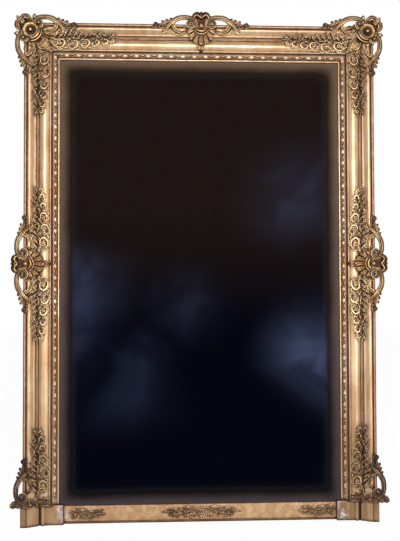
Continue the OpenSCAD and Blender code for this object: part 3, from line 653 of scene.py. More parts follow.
# Pairs of a distance inwards and a level: how dark and how rubbed each part of the profile is.
# The dark bands in the grooves, the cove and along the outer side are partly dirt, partly painted shade.
TONE_BANDS = [(0.1, 0.45), (0.6, 0.95), (3, 0.9), (5, 0.35), (7, 0.12), (9, 0.35), (11, 0.7),
              (14, 0.2), (18, 0.0), (26, 0.04), (33, 0.16), (38, 0.36), (44, 0.5), (47, 0.5), (50, 0.34),
              (55, 0.12), (62, 0.0), (76, 0.04), (81, 0.25), (84, 0.1), (88, 0.08), (90, 0.4),
              (92, 0.62), (94, 0.5), (96, 0.22), (98, 0.35), (104, 0.6), (108, 0.42), (110, 0.0),
              (114, 0.05), (116, 0.4)]
RUB_BANDS = [(-1, 0.75), (4, 0.55), (9, 0.35), (12, 0.1), (20, 0.0), (80, 0.0), (83, 0.25), (89, 0.2),
             (91, 0.5), (95, 0.3), (97, 0.0)]
# The top rail's upper edge is darker still: painted shade where it looks up, with some dust.
TOP_TONES = [(0.1, 0.45), (0.6, 1.0), (3.6, 1.0), (5.2, 0.4), (7, 0.08)] + TONE_BANDS[5:]


def lookup(table, x):
    """Straight lines between the pairs of a table."""
    if x <= table[0][0]:
        return table[0][1]
    for (x0, y0), (x1, y1) in zip(table, table[1:]):
        if x <= x1:
            return y0 + (y1 - y0) * (x - x0) / (x1 - x0)
    return table[-1][1]


print("profile points", len(outer_face) + len(inner_face) + len(sight_face))


# %% Running a profile
WOBBLE = 0.35
STEP = 38.0
# How long the waves of the wobble are: outwards along a run, then forwards along and across it.
WAVE_OUT, WAVE_ON, WAVE_ACROSS = 160, 110, 40


def run_profile(outline, start, end, seed, wobble=WOBBLE, tones=TONE_BANDS, rubs=RUB_BANDS, step=STEP):
    """Extrudes an outline of (u, h) points along local X, then shakes it a little."""
    bm = bmesh.new()
    cap = bm.faces.new([bm.verts.new((start, -u, h)) for u, h in outline])
    count = max(2, round((end - start) / step))
    for _ in range(count):
        grown = bmesh.ops.extrude_face_region(bm, geom=[cap])["geom"]
        moved = [v for v in grown if isinstance(v, bmesh.types.BMVert)]
        bmesh.ops.delete(bm, geom=[cap], context="FACES_ONLY")
        bmesh.ops.translate(bm, verts=moved, vec=((end - start) / count, 0, 0))
        cap = next(f for f in grown if isinstance(f, bmesh.types.BMFace))
    lay(bm, "tone", lambda co: lookup(tones, -co.y))
    lay(bm, "rub", lambda co: lookup(rubs, -co.y))
    back = min(h for u, h in outline) + 1
    for v in bm.verts:
        if v.co.z > back:
            v.co.y += wobble * noise.noise((v.co.x / WAVE_OUT, seed, 0.0))
            v.co.z += wobble * noise.noise((v.co.x / WAVE_ON, seed, v.co.y / WAVE_ACROSS))
    return bm


def cut(bm, at, facing):
    """Cuts everything off on the side that the plane faces, and closes the cut."""
    everything = bm.verts[:] + bm.edges[:] + bm.faces[:]
    made = bmesh.ops.bisect_plane(bm, geom=everything, plane_co=at, plane_no=facing, clear_outer=True)
    rim = [e for e in made["geom_cut"] if isinstance(e, bmesh.types.BMEdge)]
    bmesh.ops.contextual_create(bm, geom=rim)


def closed(face, width):
    return [(0, TIMBER_T)] + face + [(width, TIMBER_T)]


def finish_run(name, bm, gold, place):
    finish_piece(name + "_run", bm, gold_of[gold], [name], place, crisp=50)


TOP_RUBS = [(u, rub * 0.4) for u, rub in RUB_BANDS]
RUN_SEEDS = {"left": 0, "right": 5, "top": 10}
for run, (name, face, inset, width, gold) in enumerate(RUNS):
    outline = shifted(closed(face, width), inset)
    for side, mirror in SIDES.items():
        bm = run_profile(outline, BLOCK_H, TOP_Z, run + RUN_SEEDS[side])
        cut(bm, (TOP_Z, 0, 0), (1, -1, 0))
        finish_run(f"{side}_{name}", bm, gold, mirror @ on_left())
    bm = run_profile(outline, -HALF_W, HALF_W, run + RUN_SEEDS["top"], tones=TOP_TONES, rubs=TOP_RUBS)
    cut(bm, (HALF_W, 0, 0), (1, -1, 0))
    cut(bm, (-HALF_W, 0, 0), (-1, -1, 0))
    finish_run(f"top_{name}", bm, gold, on_top())
print("mouldings done")

# %% [markdown]
# ## Frieze and plinth blocks
# The bottom rail is plain: a flat frieze board between two blocks that end the side mouldings.
# The frieze is a profile run like the others. Each block's mouldings stand upright, so its
# profile is the plan of the block, run from the shelf upwards.

# %% Frieze and blocks
frieze_outline = [(0, TIMBER_T), (0, 43), (2, 44.6), (5, 45.4), (8.6, 45.8), (9.4, 47), (10.6, 48),
                  (24, 48.3), (40, 48.3), (57, 48), (59.6, 47.6), (61, 46.2), (61, TIMBER_T)]
FRIEZE_TONES = [(0, 0.4), (2, 0.2), (7, 0.3), (9.2, 0.65), (10.6, 0.15), (30, 0.02), (57, 0.05), (61, 0.5)]
FRIEZE_SEED = 21
frieze_half = BLOCK_X - BLOCK_W
bm = run_profile([(-u, h) for u, h in frieze_outline], -frieze_half, frieze_half, FRIEZE_SEED,
                 tones=[(-u, t) for u, t in reversed(FRIEZE_TONES)])
for v in bm.verts:
    v.co.y = max(v.co.y, 0.0)
lay(bm, "lost", lambda co: step_up(-co.x, frieze_half - 60, frieze_half - 20))
finish_piece("frieze_board", bm, gold_of["frieze"], ["bottom_frieze"],
             on_top() @ slid(0, -TOP_Z), crisp=50)

block_outline = ([(0, 0)] + arc((4, BEAD_H - 7), 4, 180, 90, 6)
                 + [(19, BEAD_H - 3), (20, BEAD_H - 6), (21, BEAD_H - 4)]
                 + ogee((24, BEAD_H - 5), (57, BEAD_H - 20), 12)
                 + [(59, BEAD_H - 21), (60, COVE_H - 1), (62, COVE_H - 1)]
                 + swell((62, COVE_H + 0.2), (80, COVE_H + 1), 7, 10)
                 + [(82, COVE_H + 0.4), (100, COVE_H + 0.3), (120, COVE_H + 0.1),
                    (BLOCK_W - 3, COVE_H), (BLOCK_W - 0.8, COVE_H - 0.6), (BLOCK_W, COVE_H - 2),
                    (BLOCK_W, TIMBER_T), (BLOCK_X - HALF_W, TIMBER_T), (BLOCK_X - HALF_W, 0)])
# How dark each part of the block's plan is: its grooves partly dirt, partly painted shade, and its inner side
# by the frieze nearly black, a painted shadow in the gap.
BLOCK_TONES = [(0, 0.5), (4, 0.1), (18, 0.1), (20, 0.7), (24, 0.1), (36, 0.0), (50, 0.2), (58, 0.5),
               (61, 0.85), (64, 0.1), (74, 0.0), (80, 0.4), (84, 0.05), (136, 0.1), (138.5, 0.8), (140, 1.0)]
BLOCK_STEP = 11.0
BLOCK_WOBBLE, BLOCK_EDGE = 0.5, 0.9
BLOCK_SEEDS = {"left": 35, "right": 36}
for side, mirror in SIDES.items():
    bm = run_profile(block_outline, 0, BLOCK_H, BLOCK_SEEDS[side], BLOCK_WOBBLE, BLOCK_TONES,
                     step=BLOCK_STEP)
    ends = [f for f in bm.faces if len(f.verts) > 8]
    rims = [e for f in ends for e in f.edges]
    bmesh.ops.bevel(bm, geom=rims, offset=BLOCK_EDGE, offset_type="OFFSET", segments=2, profile=0.5,
                    affect="EDGES", material=-1, clamp_overlap=True)
    for v in bm.verts:
        v.co.x = min(max(v.co.x, 0.0), BLOCK_H)
    lay(bm, "lost", lambda co: step_up(-co.y, 88, 122))
    finish_piece(f"{side}_plinth", bm, gold_of["plinth"],
                 [f"{side}_plinth_block"], mirror @ on_left() @ slid(0, BLOCK_X - HALF_W), crisp=40)
print("frieze", round(2 * frieze_half), "mm long")

# %% [markdown]
# ## Tools for carving
# The ornaments are pressed composition: paste made from chalk, glue and resin, squeezed in boxwood
# moulds, so each is one casting used many times. Their detail comes from few ideas. A sweep
# carries a ring of edges along a curve, for stems, scrolls and rims, and its ring may be fluted
# into reeds. A blade bends a grid into a leaf or petal and solidifies it, and a fan bends one
# round a centre into a scallop shell. A ball is a bead. Each part is its own small mesh, added
# to the casting when it is ready.


# %% Curves and adding
def spline(points, per_span=5):
    """A smooth curve through the points. All the numbers of a point are smoothed together."""
    out = []
    last = len(points) - 1
    for i in range(last):
        four = [points[max(i - 1, 0)], points[i], points[i + 1], points[min(i + 2, last)]]
        for step in range(per_span):
            k = step / per_span
            out.append(tuple(0.5 * (2 * b + (c - a) * k + (2 * a - 5 * b + 4 * c - d) * k * k
                                    + (3 * b - a - 3 * c + d) * k ** 3) for a, b, c, d in zip(*four)))
    return out + [tuple(points[-1])]


def spiral(centre, inner, outer, start, end, steps, height, width):
    """Stations round a centre: radius, height and width each change from first to last."""
    out = []
    for i in range(steps + 1):
        k = i / steps
        a = radians(start + (end - start) * k)
        r = inner + (outer - inner) * k
        w = width[0] + (width[1] - width[0]) * k
        out.append((centre[0] + r * cos(a), centre[1] + r * sin(a),
                    height[0] + (height[1] - height[0]) * k, w, w * 1.25))
    return out


def add(casting, part, place=None):
    """Moves a small mesh into the casting."""
    if place is not None:
        bmesh.ops.transform(part, matrix=place, verts=part.verts)
    bmesh.ops.recalc_face_normals(part, faces=part.faces)
    carrier = bpy.data.meshes.new("carrier")
    part.to_mesh(carrier)
    part.free()
    casting.from_mesh(carrier)
    bpy.data.meshes.remove(carrier)


def sideways(stations, i):
    """The direction square to a curve at one of its stations."""
    ahead, behind = stations[min(i + 1, len(stations) - 1)], stations[max(i - 1, 0)]
    dx, dy = ahead[0] - behind[0], ahead[1] - behind[1]
    size = math.hypot(dx, dy) or 1.0
    return -dy / size, dx / size


# %% Sweep
def sweep(stations, sides=14, reeds=0, groove=0.3):
    """A tube through stations (x, y, height, half width, half depth), fluted into reeds."""
    bm = bmesh.new()
    ring = bmesh.ops.create_circle(bm, cap_ends=True, segments=sides, radius=1)["verts"]
    for v in ring:
        a = math.atan2(v.co.y, v.co.x)
        if reeds and v.co.y > -0.1:
            v.co *= 1 - groove * (1 - abs(sin(reeds * a)))
        v.co.y = max(v.co.y, -0.75)
    rim = list({e for v in ring for e in v.link_edges})
    before = Matrix.Identity(4)
    for i, (x, y, h, w, d) in enumerate(stations):
        if i:
            grown = bmesh.ops.extrude_edge_only(bm, edges=rim)["geom"]
            ring = [g for g in grown if isinstance(g, bmesh.types.BMVert)]
            rim = [g for g in grown if isinstance(g, bmesh.types.BMEdge)]
        nx, ny = sideways(stations, i)
        after = Matrix(((nx * w, 0, ny, x), (ny * w, 0, -nx, y), (0, d, 0, h), (0, 0, 0, 1)))
        bmesh.ops.transform(bm, matrix=after @ before.inverted(), verts=ring)
        before = after
    bmesh.ops.contextual_create(bm, geom=rim)
    return bm


def beside(stations, share, lift, width, gap=0.0):
    """Stations that run along one side of others, as a rim does along a scroll."""
    out = []
    for i, (x, y, h, w, d) in enumerate(stations):
        nx, ny = sideways(stations, i)
        away = share * w + gap
        out.append((x + nx * away, y + ny * away, h + lift, width, width * 1.3))
    return out


def around(centre, radius, degrees):
    return centre[0] + radius * cos(radians(degrees)), centre[1] + radius * sin(radians(degrees))


# %% Blades: leaves and petals
def blade(path, width, outline, relief, thick=3.0, along=14, across=6):
    """A grid bent along a path of (x, y, height): outline(k) is its share of the width at k from
    root to tip, and relief(k, s) its height there, with s from -1 to 1 across it."""
    bm = bmesh.new()
    bmesh.ops.create_grid(bm, x_segments=along, y_segments=across, size=1)
    curve = spline(path, 6)
    steps = len(curve) - 1
    for v in bm.verts:
        k, s = (v.co.x + 1) / 2, v.co.y
        i = min(int(k * steps), steps - 1)
        x, y, h = between(curve[i], curve[i + 1], k * steps - i)
        nx, ny = sideways(curve, i if k * steps - i < 0.5 else i + 1)
        away = s * max(width * outline(k), 0.25)
        v.co = (x + nx * away, y + ny * away, h + relief(k, s))
    bm.normal_update()
    bmesh.ops.solidify(bm, geom=bm.faces[:], thickness=thick)
    return bm


def acanthus(path, width, lobes=3, cut_in=0.5, crown=3.2, thick=3.5, along=22, across=8, lift=2.0):
    """A carved leaf: its edge is cut into lobes that lean towards its tip, with a groove between
    lobes, a deep vein down its middle and a tip that rolls up."""
    def lobe_at(k):
        part = (lobes * k) % 1.0
        return min(1.0, 1.5 * part ** 0.6) * (1 - part ** 7)

    def outline(k):
        body = sin(pi * (0.10 + 0.87 * k) ** 0.85) ** 0.75
        return body * (1 - cut_in * (1 - lobe_at(k)))

    def relief(k, s):
        lobe = lobe_at(max(0.0, k - 0.06 * abs(s)))
        round_back = crown * (1 - abs(s) ** 2.2) * (0.45 + 0.55 * lobe)
        vein = 2.6 * exp(-(s / 0.13) ** 2) * (1 - k)
        return round_back - vein - 1.4 * (1 - lobe) * abs(s) + lift * k ** 4
    return blade(path, width, outline, relief, thick, along, across)


def petal(path, width, dish=1.2, thick=2.0, along=6, across=4):
    """A smooth round-tipped petal with a shallow dish."""
    return blade(path, width, lambda k: sin(pi * min(1, 0.16 + 0.8 * k)) ** 0.6,
                 lambda k, s: dish * s * s + dish * k * (1 - k), thick, along, across)


# %% Shells and pointed leaves
def fan(centre, start, end, ribs, root, reach, bed, relief=6.0, thick=6.0):
    """A scallop: a grid bent round a centre. Its ribs touch, their ends are round, and a raised
    border runs along them. reach(angle) is its radius and bed(x, y) the height it lies at."""
    bm = bmesh.new()
    bmesh.ops.create_grid(bm, x_segments=ribs * 8, y_segments=12, size=1)
    for v in bm.verts:
        k, out = (v.co.x + 1) / 2, (v.co.y + 1) / 2
        round_back = abs(sin(pi * ribs * k)) ** 0.7
        groove = exp(-((ribs * k % 1.0 - 0.5) / 0.13) ** 2)
        angle = end + (start - end) * k
        rim = reach(angle) * (0.84 + 0.16 * round_back)
        x, y = around(centre, root + (rim - root) * out, angle)
        border = 1.6 * exp(-((out - 0.9) / 0.06) ** 2)
        lift = relief * round_back * (0.4 + 0.6 * out) - 2.4 * groove * min(1.0, 4 * out) * (out < 0.84)
        v.co = (x, y, bed(x, y) + lift + border - 3.0 * max(0.0, out - 0.93) / 0.07)
    bm.normal_update()
    bmesh.ops.solidify(bm, geom=bm.faces[:], thickness=thick)
    return bm


def shield(path, width, thick=3.0):
    """A pointed leaf with a raised border and a rib down its middle."""
    def outline(k):
        return 0.6 + 1.6 * k if k < 0.25 else max(0.0, 1 - ((k - 0.25) / 0.75) ** 1.5) ** 0.9

    def relief(k, s):
        border = 2.2 * exp(-((abs(s) - 0.86) / 0.16) ** 2)
        return border + 2.2 * exp(-(s / 0.16) ** 2) - 0.6 * (abs(s) < 0.7) + 1.5 * k ** 3
    return blade(path, width, outline, relief, thick, 16, 12)


# %% Beads, flowers and curls
def ball(centre, radius, squash=1.0, sides=12):
    bm = bmesh.new()
    bmesh.ops.create_uvsphere(bm, u_segments=sides, v_segments=sides * 2 // 3, radius=radius)
    bmesh.ops.scale(bm, vec=(1, 1, squash), verts=bm.verts)
    bmesh.ops.translate(bm, vec=centre, verts=bm.verts)
    return bm


def to_side(side, points):
    """The points as they are for 1, and mirrored for -1."""
    return [(side * x, *rest) for x, *rest in points]


def flower(casting, centre, radius, petals=5, turn=0.0, heart=0.32):
    x, y, h = centre
    for i in range(petals):
        a = radians(turn + 360 * i / petals)
        path = [(x + radius * k * cos(a), y + radius * k * sin(a), h + lift)
                for k, lift in ((0.12, -0.6), (0.5, 1.4), (0.86, 1.2), (1.05, -0.4))]
        add(casting, petal(path, radius * 0.46))
    add(casting, ball((x, y, h + 1.0), radius * heart, 0.8, 10))


def curl(casting, centre, radius, start, turns, height, width=2.6, sides=10, eye=True):
    """A small volute: it starts fine at its rim, winds in and ends in an eye."""
    stations = spiral(centre, radius, radius * 0.3, start, start + 360 * turns, int(18 * abs(turns)) + 4,
                      (height, height + 2), (width, width * 0.8))
    for i, share in enumerate((0.3, 0.6, 0.85)):
        x, y, h, w, d = stations[i]
        stations[i] = (x, y, h - 1 + share, w * share, d * share)
    add(casting, sweep(stations, sides, 2, 0.3))
    if eye:
        add(casting, ball((centre[0], centre[1], height + 1.5), radius * 0.32, 1.0, 10))


def fringe(casting, stations, size, every, side, lean=35, first=2):
    """Small pointed lobes along one side of a strand, as on the back of a curled leaf."""
    for i in range(first, len(stations) - 2, every):
        x, y, h, w, d = stations[i]
        nx, ny = sideways(stations, i)
        a = math.atan2(ny * side, nx * side) + radians(lean * side)
        r = size * (1 - 0.35 * i / len(stations))
        path = [(x + nx * side * w * 0.3, y + ny * side * w * 0.3, h + 1.5),
                (x + (w + r * 0.4) * cos(a), y + (w + r * 0.4) * sin(a), h + 2.0),
                (x + (w + r) * cos(a), y + (w + r) * sin(a), h - 0.5)]
        add(casting, petal(path, r * 0.5, 0.6, 4.0))


print("carving tools ready")

# %% [markdown]
# ## The C-scroll
# The same casting runs twelve times round the frame. It starts in a volute beside its cartouche,
# arches over an opening past the frame's edge, and falls into a tail. There it parts in three: a
# branch goes straight on to a curled bud, a leaf hangs down over the mouldings, and another leaf
# curls back under the opening. Its back is fluted with three reeds between two fine rims.

# %% C-scroll
SCROLL_OUT = 19.5
VOLUTE_AT = (37.0, 0.0)
BUD_AT = (152.0, -5.0)


def c_scroll():
    casting = bmesh.new()
    volute = spiral(VOLUTE_AT, 3.0, 16.0, 600, 150, 42, (96, 94), (2.4, 4.6))
    arch = spline([volute[-1], (31, SCROLL_OUT - 4, 94, 5.0, 6.6), (44, SCROLL_OUT, 94, 5.6, 7.2),
                   (60, SCROLL_OUT + 0.5, 94, 6.2, 7.6), (76, SCROLL_OUT - 2, 94, 6.6, 7.8),
                   (89, SCROLL_OUT - 8, 93, 6.8, 7.4), (99, 5, 91, 5.5, 5.5)])
    arm = volute[:-1] + arch
    add(casting, sweep(arm, 24, 3, 0.42))
    over_the_top = arm[18:-3]
    add(casting, sweep(beside(over_the_top, -1.0, -2.0, 2.0, -0.2), 8))
    add(casting, sweep(beside(over_the_top, 1.0, 1.5, 1.7, 0.4), 8))
    add(casting, ball((VOLUTE_AT[0], VOLUTE_AT[1], 97), 4.2, 1.0, 14))
    branch = spline([(88, 15, 93, 2.5, 4), (98, 10, 93, 4.0, 5.4), (112, 4.5, 92, 4.2, 5.6),
                     (128, 0, 91, 3.8, 5.2), (145, -4, 91, 3.0, 5)])
    add(casting, sweep(branch, 14, 2, 0.34))
    add(casting, ball((BUD_AT[0], BUD_AT[1], 92), 8.2, 1.1, 16))
    curl(casting, (BUD_AT[0], BUD_AT[1] + 1), 11.4, -110, 0.75, 92, 3.4, 10, eye=False)
    add(casting, acanthus([(139, -5, 90), (147, -11, 91), (157, -14, 90), (168, -12, 88)], 5.0, 3, 0.4, 2.4))
    for t, o, size in ((101, 13.5, 6.0), (115, 9, 6.5), (129, 5, 6.0)):
        add(casting, petal([(t - 8, o - 5, 93), (t - 3, o - 1, 95), (t + 3, o + 1.5, 95), (t + 7, o + 1, 92)],
                           size * 0.6, 0.8, 4))
        add(casting, ball((t + 3, o + 1, 92.5), size * 0.55, 1.1, 10))
    fall = spline([(84, 11, 94, 2.5, 4), (96, 4, 94, 5.2, 5.6), (108, -6, 92.5, 5.0, 6.0),
                   (118, -18, 89.5, 3.6, 5.4), (124, -28, 86, 2.2, 4)])
    add(casting, sweep(fall, 16, 2, 0.4))
    for turn, reach in ((-98, 16), (-66, 20), (-30, 17)):
        a = radians(turn)
        tip = [(119 + r * cos(a), -17 + r * sin(a), h)
               for r, h in ((0, 90), (reach * 0.45, 90), (reach, 84.5))]
        add(casting, acanthus(tip, 5.4, 2, 0.35, 2.6, 5, 14, 6))
    loop = spline([(84, 9, 93, 2.5, 4), (94, 2, 92.5, 4.0, 5.4), (97, -10, 91, 4.4, 6),
                   (89, -22, 88, 4.4, 6.4), (75, -28, 85, 4.2, 6.4), (62, -29, 83, 3.8, 6),
                   (52, -25, 82.5, 3.2, 5)])
    add(casting, sweep(loop, 16, 2, 0.4))
    fringe(casting, loop, 9.0, 5, -1, -40, 8)
    curl(casting, (54, -18), 8.0, 265, -1.3, 84, 2.8, 10)
    add(casting, acanthus([(104, -4, 92), (116, -10, 90), (132, -14, 89), (148, -12, 89)], 6.0, 4, 0.45))
    below = [(98, 0, 89), (104, -13, 88), (94, -27, 86), (78, -34, 84), (60, -34, 82)]
    add(casting, acanthus(below, 6.5, 5, 0.5))
    add(casting, acanthus([(90, 8, 90), (103, -3, 89), (114, -15, 87), (122, -30, 83)], 10.0, 4, 0.45))
    add(casting, acanthus([(98, 5, 90), (114, 0, 90), (130, -4, 89), (146, -7, 88)], 6.5, 4, 0.4))
    return casting


# %% Dust and painted shade on the scroll
# The scroll's back, from its volute to its bud, as (along, out).
SCROLL_BACK = [(24, 12), (31, 20), (44, 25), (60, 26), (76, 24), (89, 18), (99, 13), (112, 9),
               (130, 5), (145, 1)]


def scroll_dust_and_shade(co):
    """The back edge and the bud are nearly black: dust that no cloth reaches, and painted shade where they
    turn away from the light.
    """
    bud = step_up(co.x, 140, 146) * step_up(co.y, -15, -9)
    return 0.92 * max(step_up(co.y - lookup(SCROLL_BACK, co.x), -2.6, 0.0), bud)


# %% Setting castings
def stamp(casting):
    """A fresh copy of a casting's mesh, to be placed somewhere."""
    mesh = bpy.data.meshes.new("stamp")
    casting.to_mesh(mesh)
    copy = bmesh.new()
    copy.from_mesh(mesh)
    bpy.data.meshes.remove(mesh)
    return copy


def set_casting(casting, name, place, gold="ornament"):
    """Puts a copy of a casting in one place, over the plain solid of that name."""
    finish_piece(name + "_casting", stamp(casting), gold_of[gold], [name], place)


crest = on_top(CREST_X)
corners = {side: mirror @ on_top(-HALF_W, CORNER_LIFTS[side]) for side, mirror in SIDES.items()}
middles = {side: mirror @ on_left(SIDE_Z) for side, mirror in SIDES.items()}
feet = {side: mirror @ on_left(BLOCK_H) for side, mirror in SIDES.items()}


def along_rails(kind, shift, level):
    """Places of one kind of casting, by name. Level ones on the top rail undo their corner's lift."""
    places = {}
    for side in SIDES:
        back = -CORNER_LIFTS[side] if level else 0.0
        places[f"{side}_corner_top_{kind}"] = corners[side] @ slid(shift, back)
        places[f"{side}_corner_side_{kind}"] = corners[side] @ DOWN_SIDE @ slid(shift)
        places[f"{side}_upper_{kind}"] = middles[side]
        places[f"{side}_lower_{kind}"] = middles[side] @ MIRRORED
        places[f"{side}_foot_{kind}"] = feet[side]
    return places


# %% Twelve scrolls
scroll = c_scroll()
lay(scroll, "tone", scroll_dust_and_shade)
SCROLL_SHIFT = 14.0
scroll_places = along_rails("scroll", SCROLL_SHIFT, False)
scroll_places["crest_left_scroll"] = crest @ MIRRORED
scroll_places["crest_right_scroll"] = crest
for name, place in scroll_places.items():
    set_casting(scroll, name, place, "foot" if "foot" in name else "ornament")
print("scrolls", len(scroll_places), "faces each", len(scroll.faces))

# %% [markdown]
# ## The cartouches
# Between each pair of scrolls sits a cartouche: two lobes and a knob at its head, a valance under
# them, a niche with a bright boss, a crescent collar, and a scallop shell whose ribs spread over
# the mouldings, ending in a pointed leaf. A domed pad behind carries everything. The crest and
# both sides use the same casting. The darkening in the shell's furrows and in the niche is painted
# shade, written to the tone attribute from the same numbers that shape them.


# %% Pads and crescents
def pad(outline, foot, crown, round_off=4.0):
    """A solid with a rounded upper edge, from an outline of (x, y)."""
    bm = bmesh.new()
    base = bm.faces.new([bm.verts.new((x, y, foot)) for x, y in outline])
    base.normal_update()
    if base.normal.z > 0:
        base.normal_flip()
    grown = bmesh.ops.extrude_face_region(bm, geom=[base], use_keep_orig=True)["geom"]
    top = next(g for g in grown if isinstance(g, bmesh.types.BMFace))
    bmesh.ops.translate(bm, verts=top.verts, vec=(0, 0, crown - foot - round_off))
    bmesh.ops.recalc_face_normals(bm, faces=bm.faces)
    for share, rise in ((0.35, 0.6), (0.65, 0.4)):
        bmesh.ops.inset_region(bm, faces=[top], thickness=round_off * share, use_even_offset=True)
        bmesh.ops.translate(bm, verts=top.verts, vec=(0, 0, round_off * rise))
    return bm


def crescent(centre, radius, start, sweep_by, height, width, reeds=0, dip=0.0):
    """A moon-shaped roll that is thick in its middle and fine at both horns."""
    steps = max(12, int(abs(sweep_by) / 8))
    stations = []
    for i in range(steps + 1):
        k = i / steps
        a = radians(start + sweep_by * k)
        w = 0.5 + width * sin(pi * k) ** 0.7
        stations.append((centre[0] + radius * cos(a), centre[1] + radius * sin(a),
                         height - dip * (1 - sin(pi * k)), w, w * 1.2))
    return sweep(stations, 14 if reeds else 12, reeds, 0.26)


def hoop(centre, radius, height, width, steps=28):
    """A closed ring: one circle of edges spun about the centre."""
    bm = bmesh.new()
    ring = bmesh.ops.create_circle(bm, segments=8, radius=width)["verts"]
    bmesh.ops.rotate(bm, verts=ring, cent=(0, 0, 0), matrix=Matrix.Rotation(radians(90), 3, "X"))
    bmesh.ops.translate(bm, verts=ring, vec=(radius, 0, 0))
    bmesh.ops.spin(bm, geom=bm.verts[:] + bm.edges[:], cent=(0, 0, 0), axis=(0, 0, 1), angle=2 * pi,
                   steps=steps, use_merge=True)
    bmesh.ops.remove_doubles(bm, verts=bm.verts, dist=1e-4)
    bmesh.ops.translate(bm, vec=(centre[0], centre[1], height), verts=bm.verts)
    return bm


# The height that an ornament's bed follows, by the distance inwards from the rail's edge.
BED = [(-60, 88), (4, 88), (22, 87), (38, 78), (48, 68), (62, 67), (78, 65), (90, 60), (110, 52)]


# %% Parts of a middle cartouche
SHELL_AT = (0.0, -8.0)
NICHE_AT = (0.0, -6.0)


def on_bed(x, y):
    return lookup(BED, -y) + 3


def middle_reach(angle):
    """How far the shell spreads: furthest straight down."""
    return 50 + 12 * abs(cos(radians(angle + 90))) ** 2


def between_ribs(co, centre, start, end, ribs, root, reach):
    """Dirt that has settled in a shell's furrows: 1 in a furrow, 0 on a rib and off the shell."""
    x, y = co.x - centre[0], co.y - centre[1]
    angle, away = math.degrees(math.atan2(y, x)), math.hypot(x, y)
    if not start < angle < end or not root < away < reach + 3:
        return 0.0
    return (1 - abs(sin(pi * ribs * (end - angle) / (end - start)))) ** 1.4


def lobe_rims(casting, rim, root, place=None):
    """A rolled lobe of a cartouche's head: a heavy rim with a finer one inside it."""
    add(casting, sweep(spline(rim), 14, 2, 0.36), place)
    inner = [(root[0] + (x - root[0]) * 0.6, root[1] + (y - root[1]) * 0.6, h - 2, w * 0.6, d * 0.7)
             for x, y, h, w, d in rim]
    add(casting, sweep(spline(inner), 10), place)


# %% Making the middle cartouche
def cartouche():
    casting = bmesh.new()
    add(casting, pad([(-25, 12), (-22, -2), (-24, -14), (-14, -28), (0, -33), (14, -28), (24, -14),
                      (22, -2), (25, 12), (27, 24), (20, 31), (8, 30), (0, 26), (-8, 30), (-20, 31),
                      (-27, 24)], 74, 86, 5))
    for side in (-1, 1):
        lobe_rims(casting, to_side(side, [(2, 26, 93, 2.0, 4), (6, 32, 94, 4.2, 5.4), (15, 35, 95, 4.8, 6),
                                          (25, 30, 94, 4.6, 6), (30, 20, 93, 3.8, 5),
                                          (26, 12, 92, 1.8, 3)]), (side * 14, 18))
        lip = to_side(side, [(0, 17, 100, 2.4, 3.6), (6, 21, 101, 2.8, 4), (14, 26, 101, 3.0, 4),
                             (22, 23, 100, 2.8, 4), (26, 15, 98, 2.2, 3.2)])
        add(casting, sweep(spline(lip), 12))
        cheek = to_side(side, [(22, 19, 94, 4.4, 5), (19, 9, 95, 5.2, 6), (16.5, -2, 95, 4.6, 6),
                               (18, -14, 93, 3.6, 5), (22, -22, 90, 2, 4)])
        add(casting, sweep(spline(cheek), 14, 2, 0.3))
        wing = to_side(side, [(20, 0, 93), (27, -6, 93), (34, -14, 91), (41, -19, 88)])
        add(casting, acanthus(wing, 7, 3))
        brow = to_side(side, [(3, 30, 97), (9, 34, 99), (16, 33, 99), (22, 28, 97)])
        add(casting, acanthus(brow, 4, 3, 0.4))
    niche = [(-17, 19), (-13, 8), (-12, -2), (12, -2), (13, 8), (17, 19), (8, 16), (0, 11), (-8, 16)]
    add(casting, pad(niche, 82, 96, 3.0))
    add(casting, ball((0, 35, 96), 5.0, 1.1, 14))
    add(casting, acanthus([(0, 19, 99), (0, 25, 102), (0, 31, 101), (0, 35, 97)], 5.0, 2))
    add(casting, hoop(NICHE_AT, 12.4, 96, 2.4))
    add(casting, ball((0, -10, 97), 8.6, 1.2, 18))
    add(casting, crescent((0, -9), 18.5, -160, 140, 98, 3.8, 0, 2.0))
    add(casting, crescent(SHELL_AT, 27.0, -166, 152, 93, 2.8, 0, 1.5))
    add(casting, fan(SHELL_AT, -168, -12, 7, 24, middle_reach, on_bed))
    add(casting, shield([(0, -57, 72), (0, -68, 73), (0, -79, 71), (0, -90, 63)], 16.0))
    add(casting, ball((0, -65, 78), 4.6, 1.0, 12))
    return casting


# %% Painted shade and dust on the cartouche, and three of them
def middle_shade_and_dust(co):
    """Dark furrows and a dark niche, painted shade, and a dark upper edge, partly dust and partly painted
    shade.
    """
    leaf = abs(co.x) < 15 and co.y < -58
    furrow = 0.0 if leaf else between_ribs(co, SHELL_AT, -168, -12, 7, 31, middle_reach(-90))
    niche = step_up(co.y, -2, 2) * step_up(-co.y, -13, -9) * (abs(co.x) < 12)
    return 0.9 * max(step_up(co.y, 27, 33), furrow, niche)


middle = cartouche()
lay(middle, "tone", middle_shade_and_dust)
set_casting(middle, "crest_cartouche", crest)
for side, place in middles.items():
    set_casting(middle, side + "_side_cartouche", place)
print("cartouche faces", len(middle.faces))

# %% [markdown]
# A corner's cartouche looks out along the mitre. Its head has two lobes, one over each rail,
# with a small knob between them and one at either side. Under it lies a rose: eight petals
# round a dark well with a small boss. A shell fans down to the inner corner, where a leaf with
# a bead covers the mitre and a flower in a ring stands on either side.

# %% Half a corner
BOSS_AT = (24.0, -25.0)


def on_mitre(x, y):
    """The bed where two rails meet: whichever rail's surface is lower, seen from the corner."""
    return min(lookup(BED, -y), lookup(BED, x)) + 5


def corner_reach(angle):
    """The corner's shell spreads furthest along the mitre."""
    return 68 + 21 * abs(cos(radians(angle + 45))) ** 5


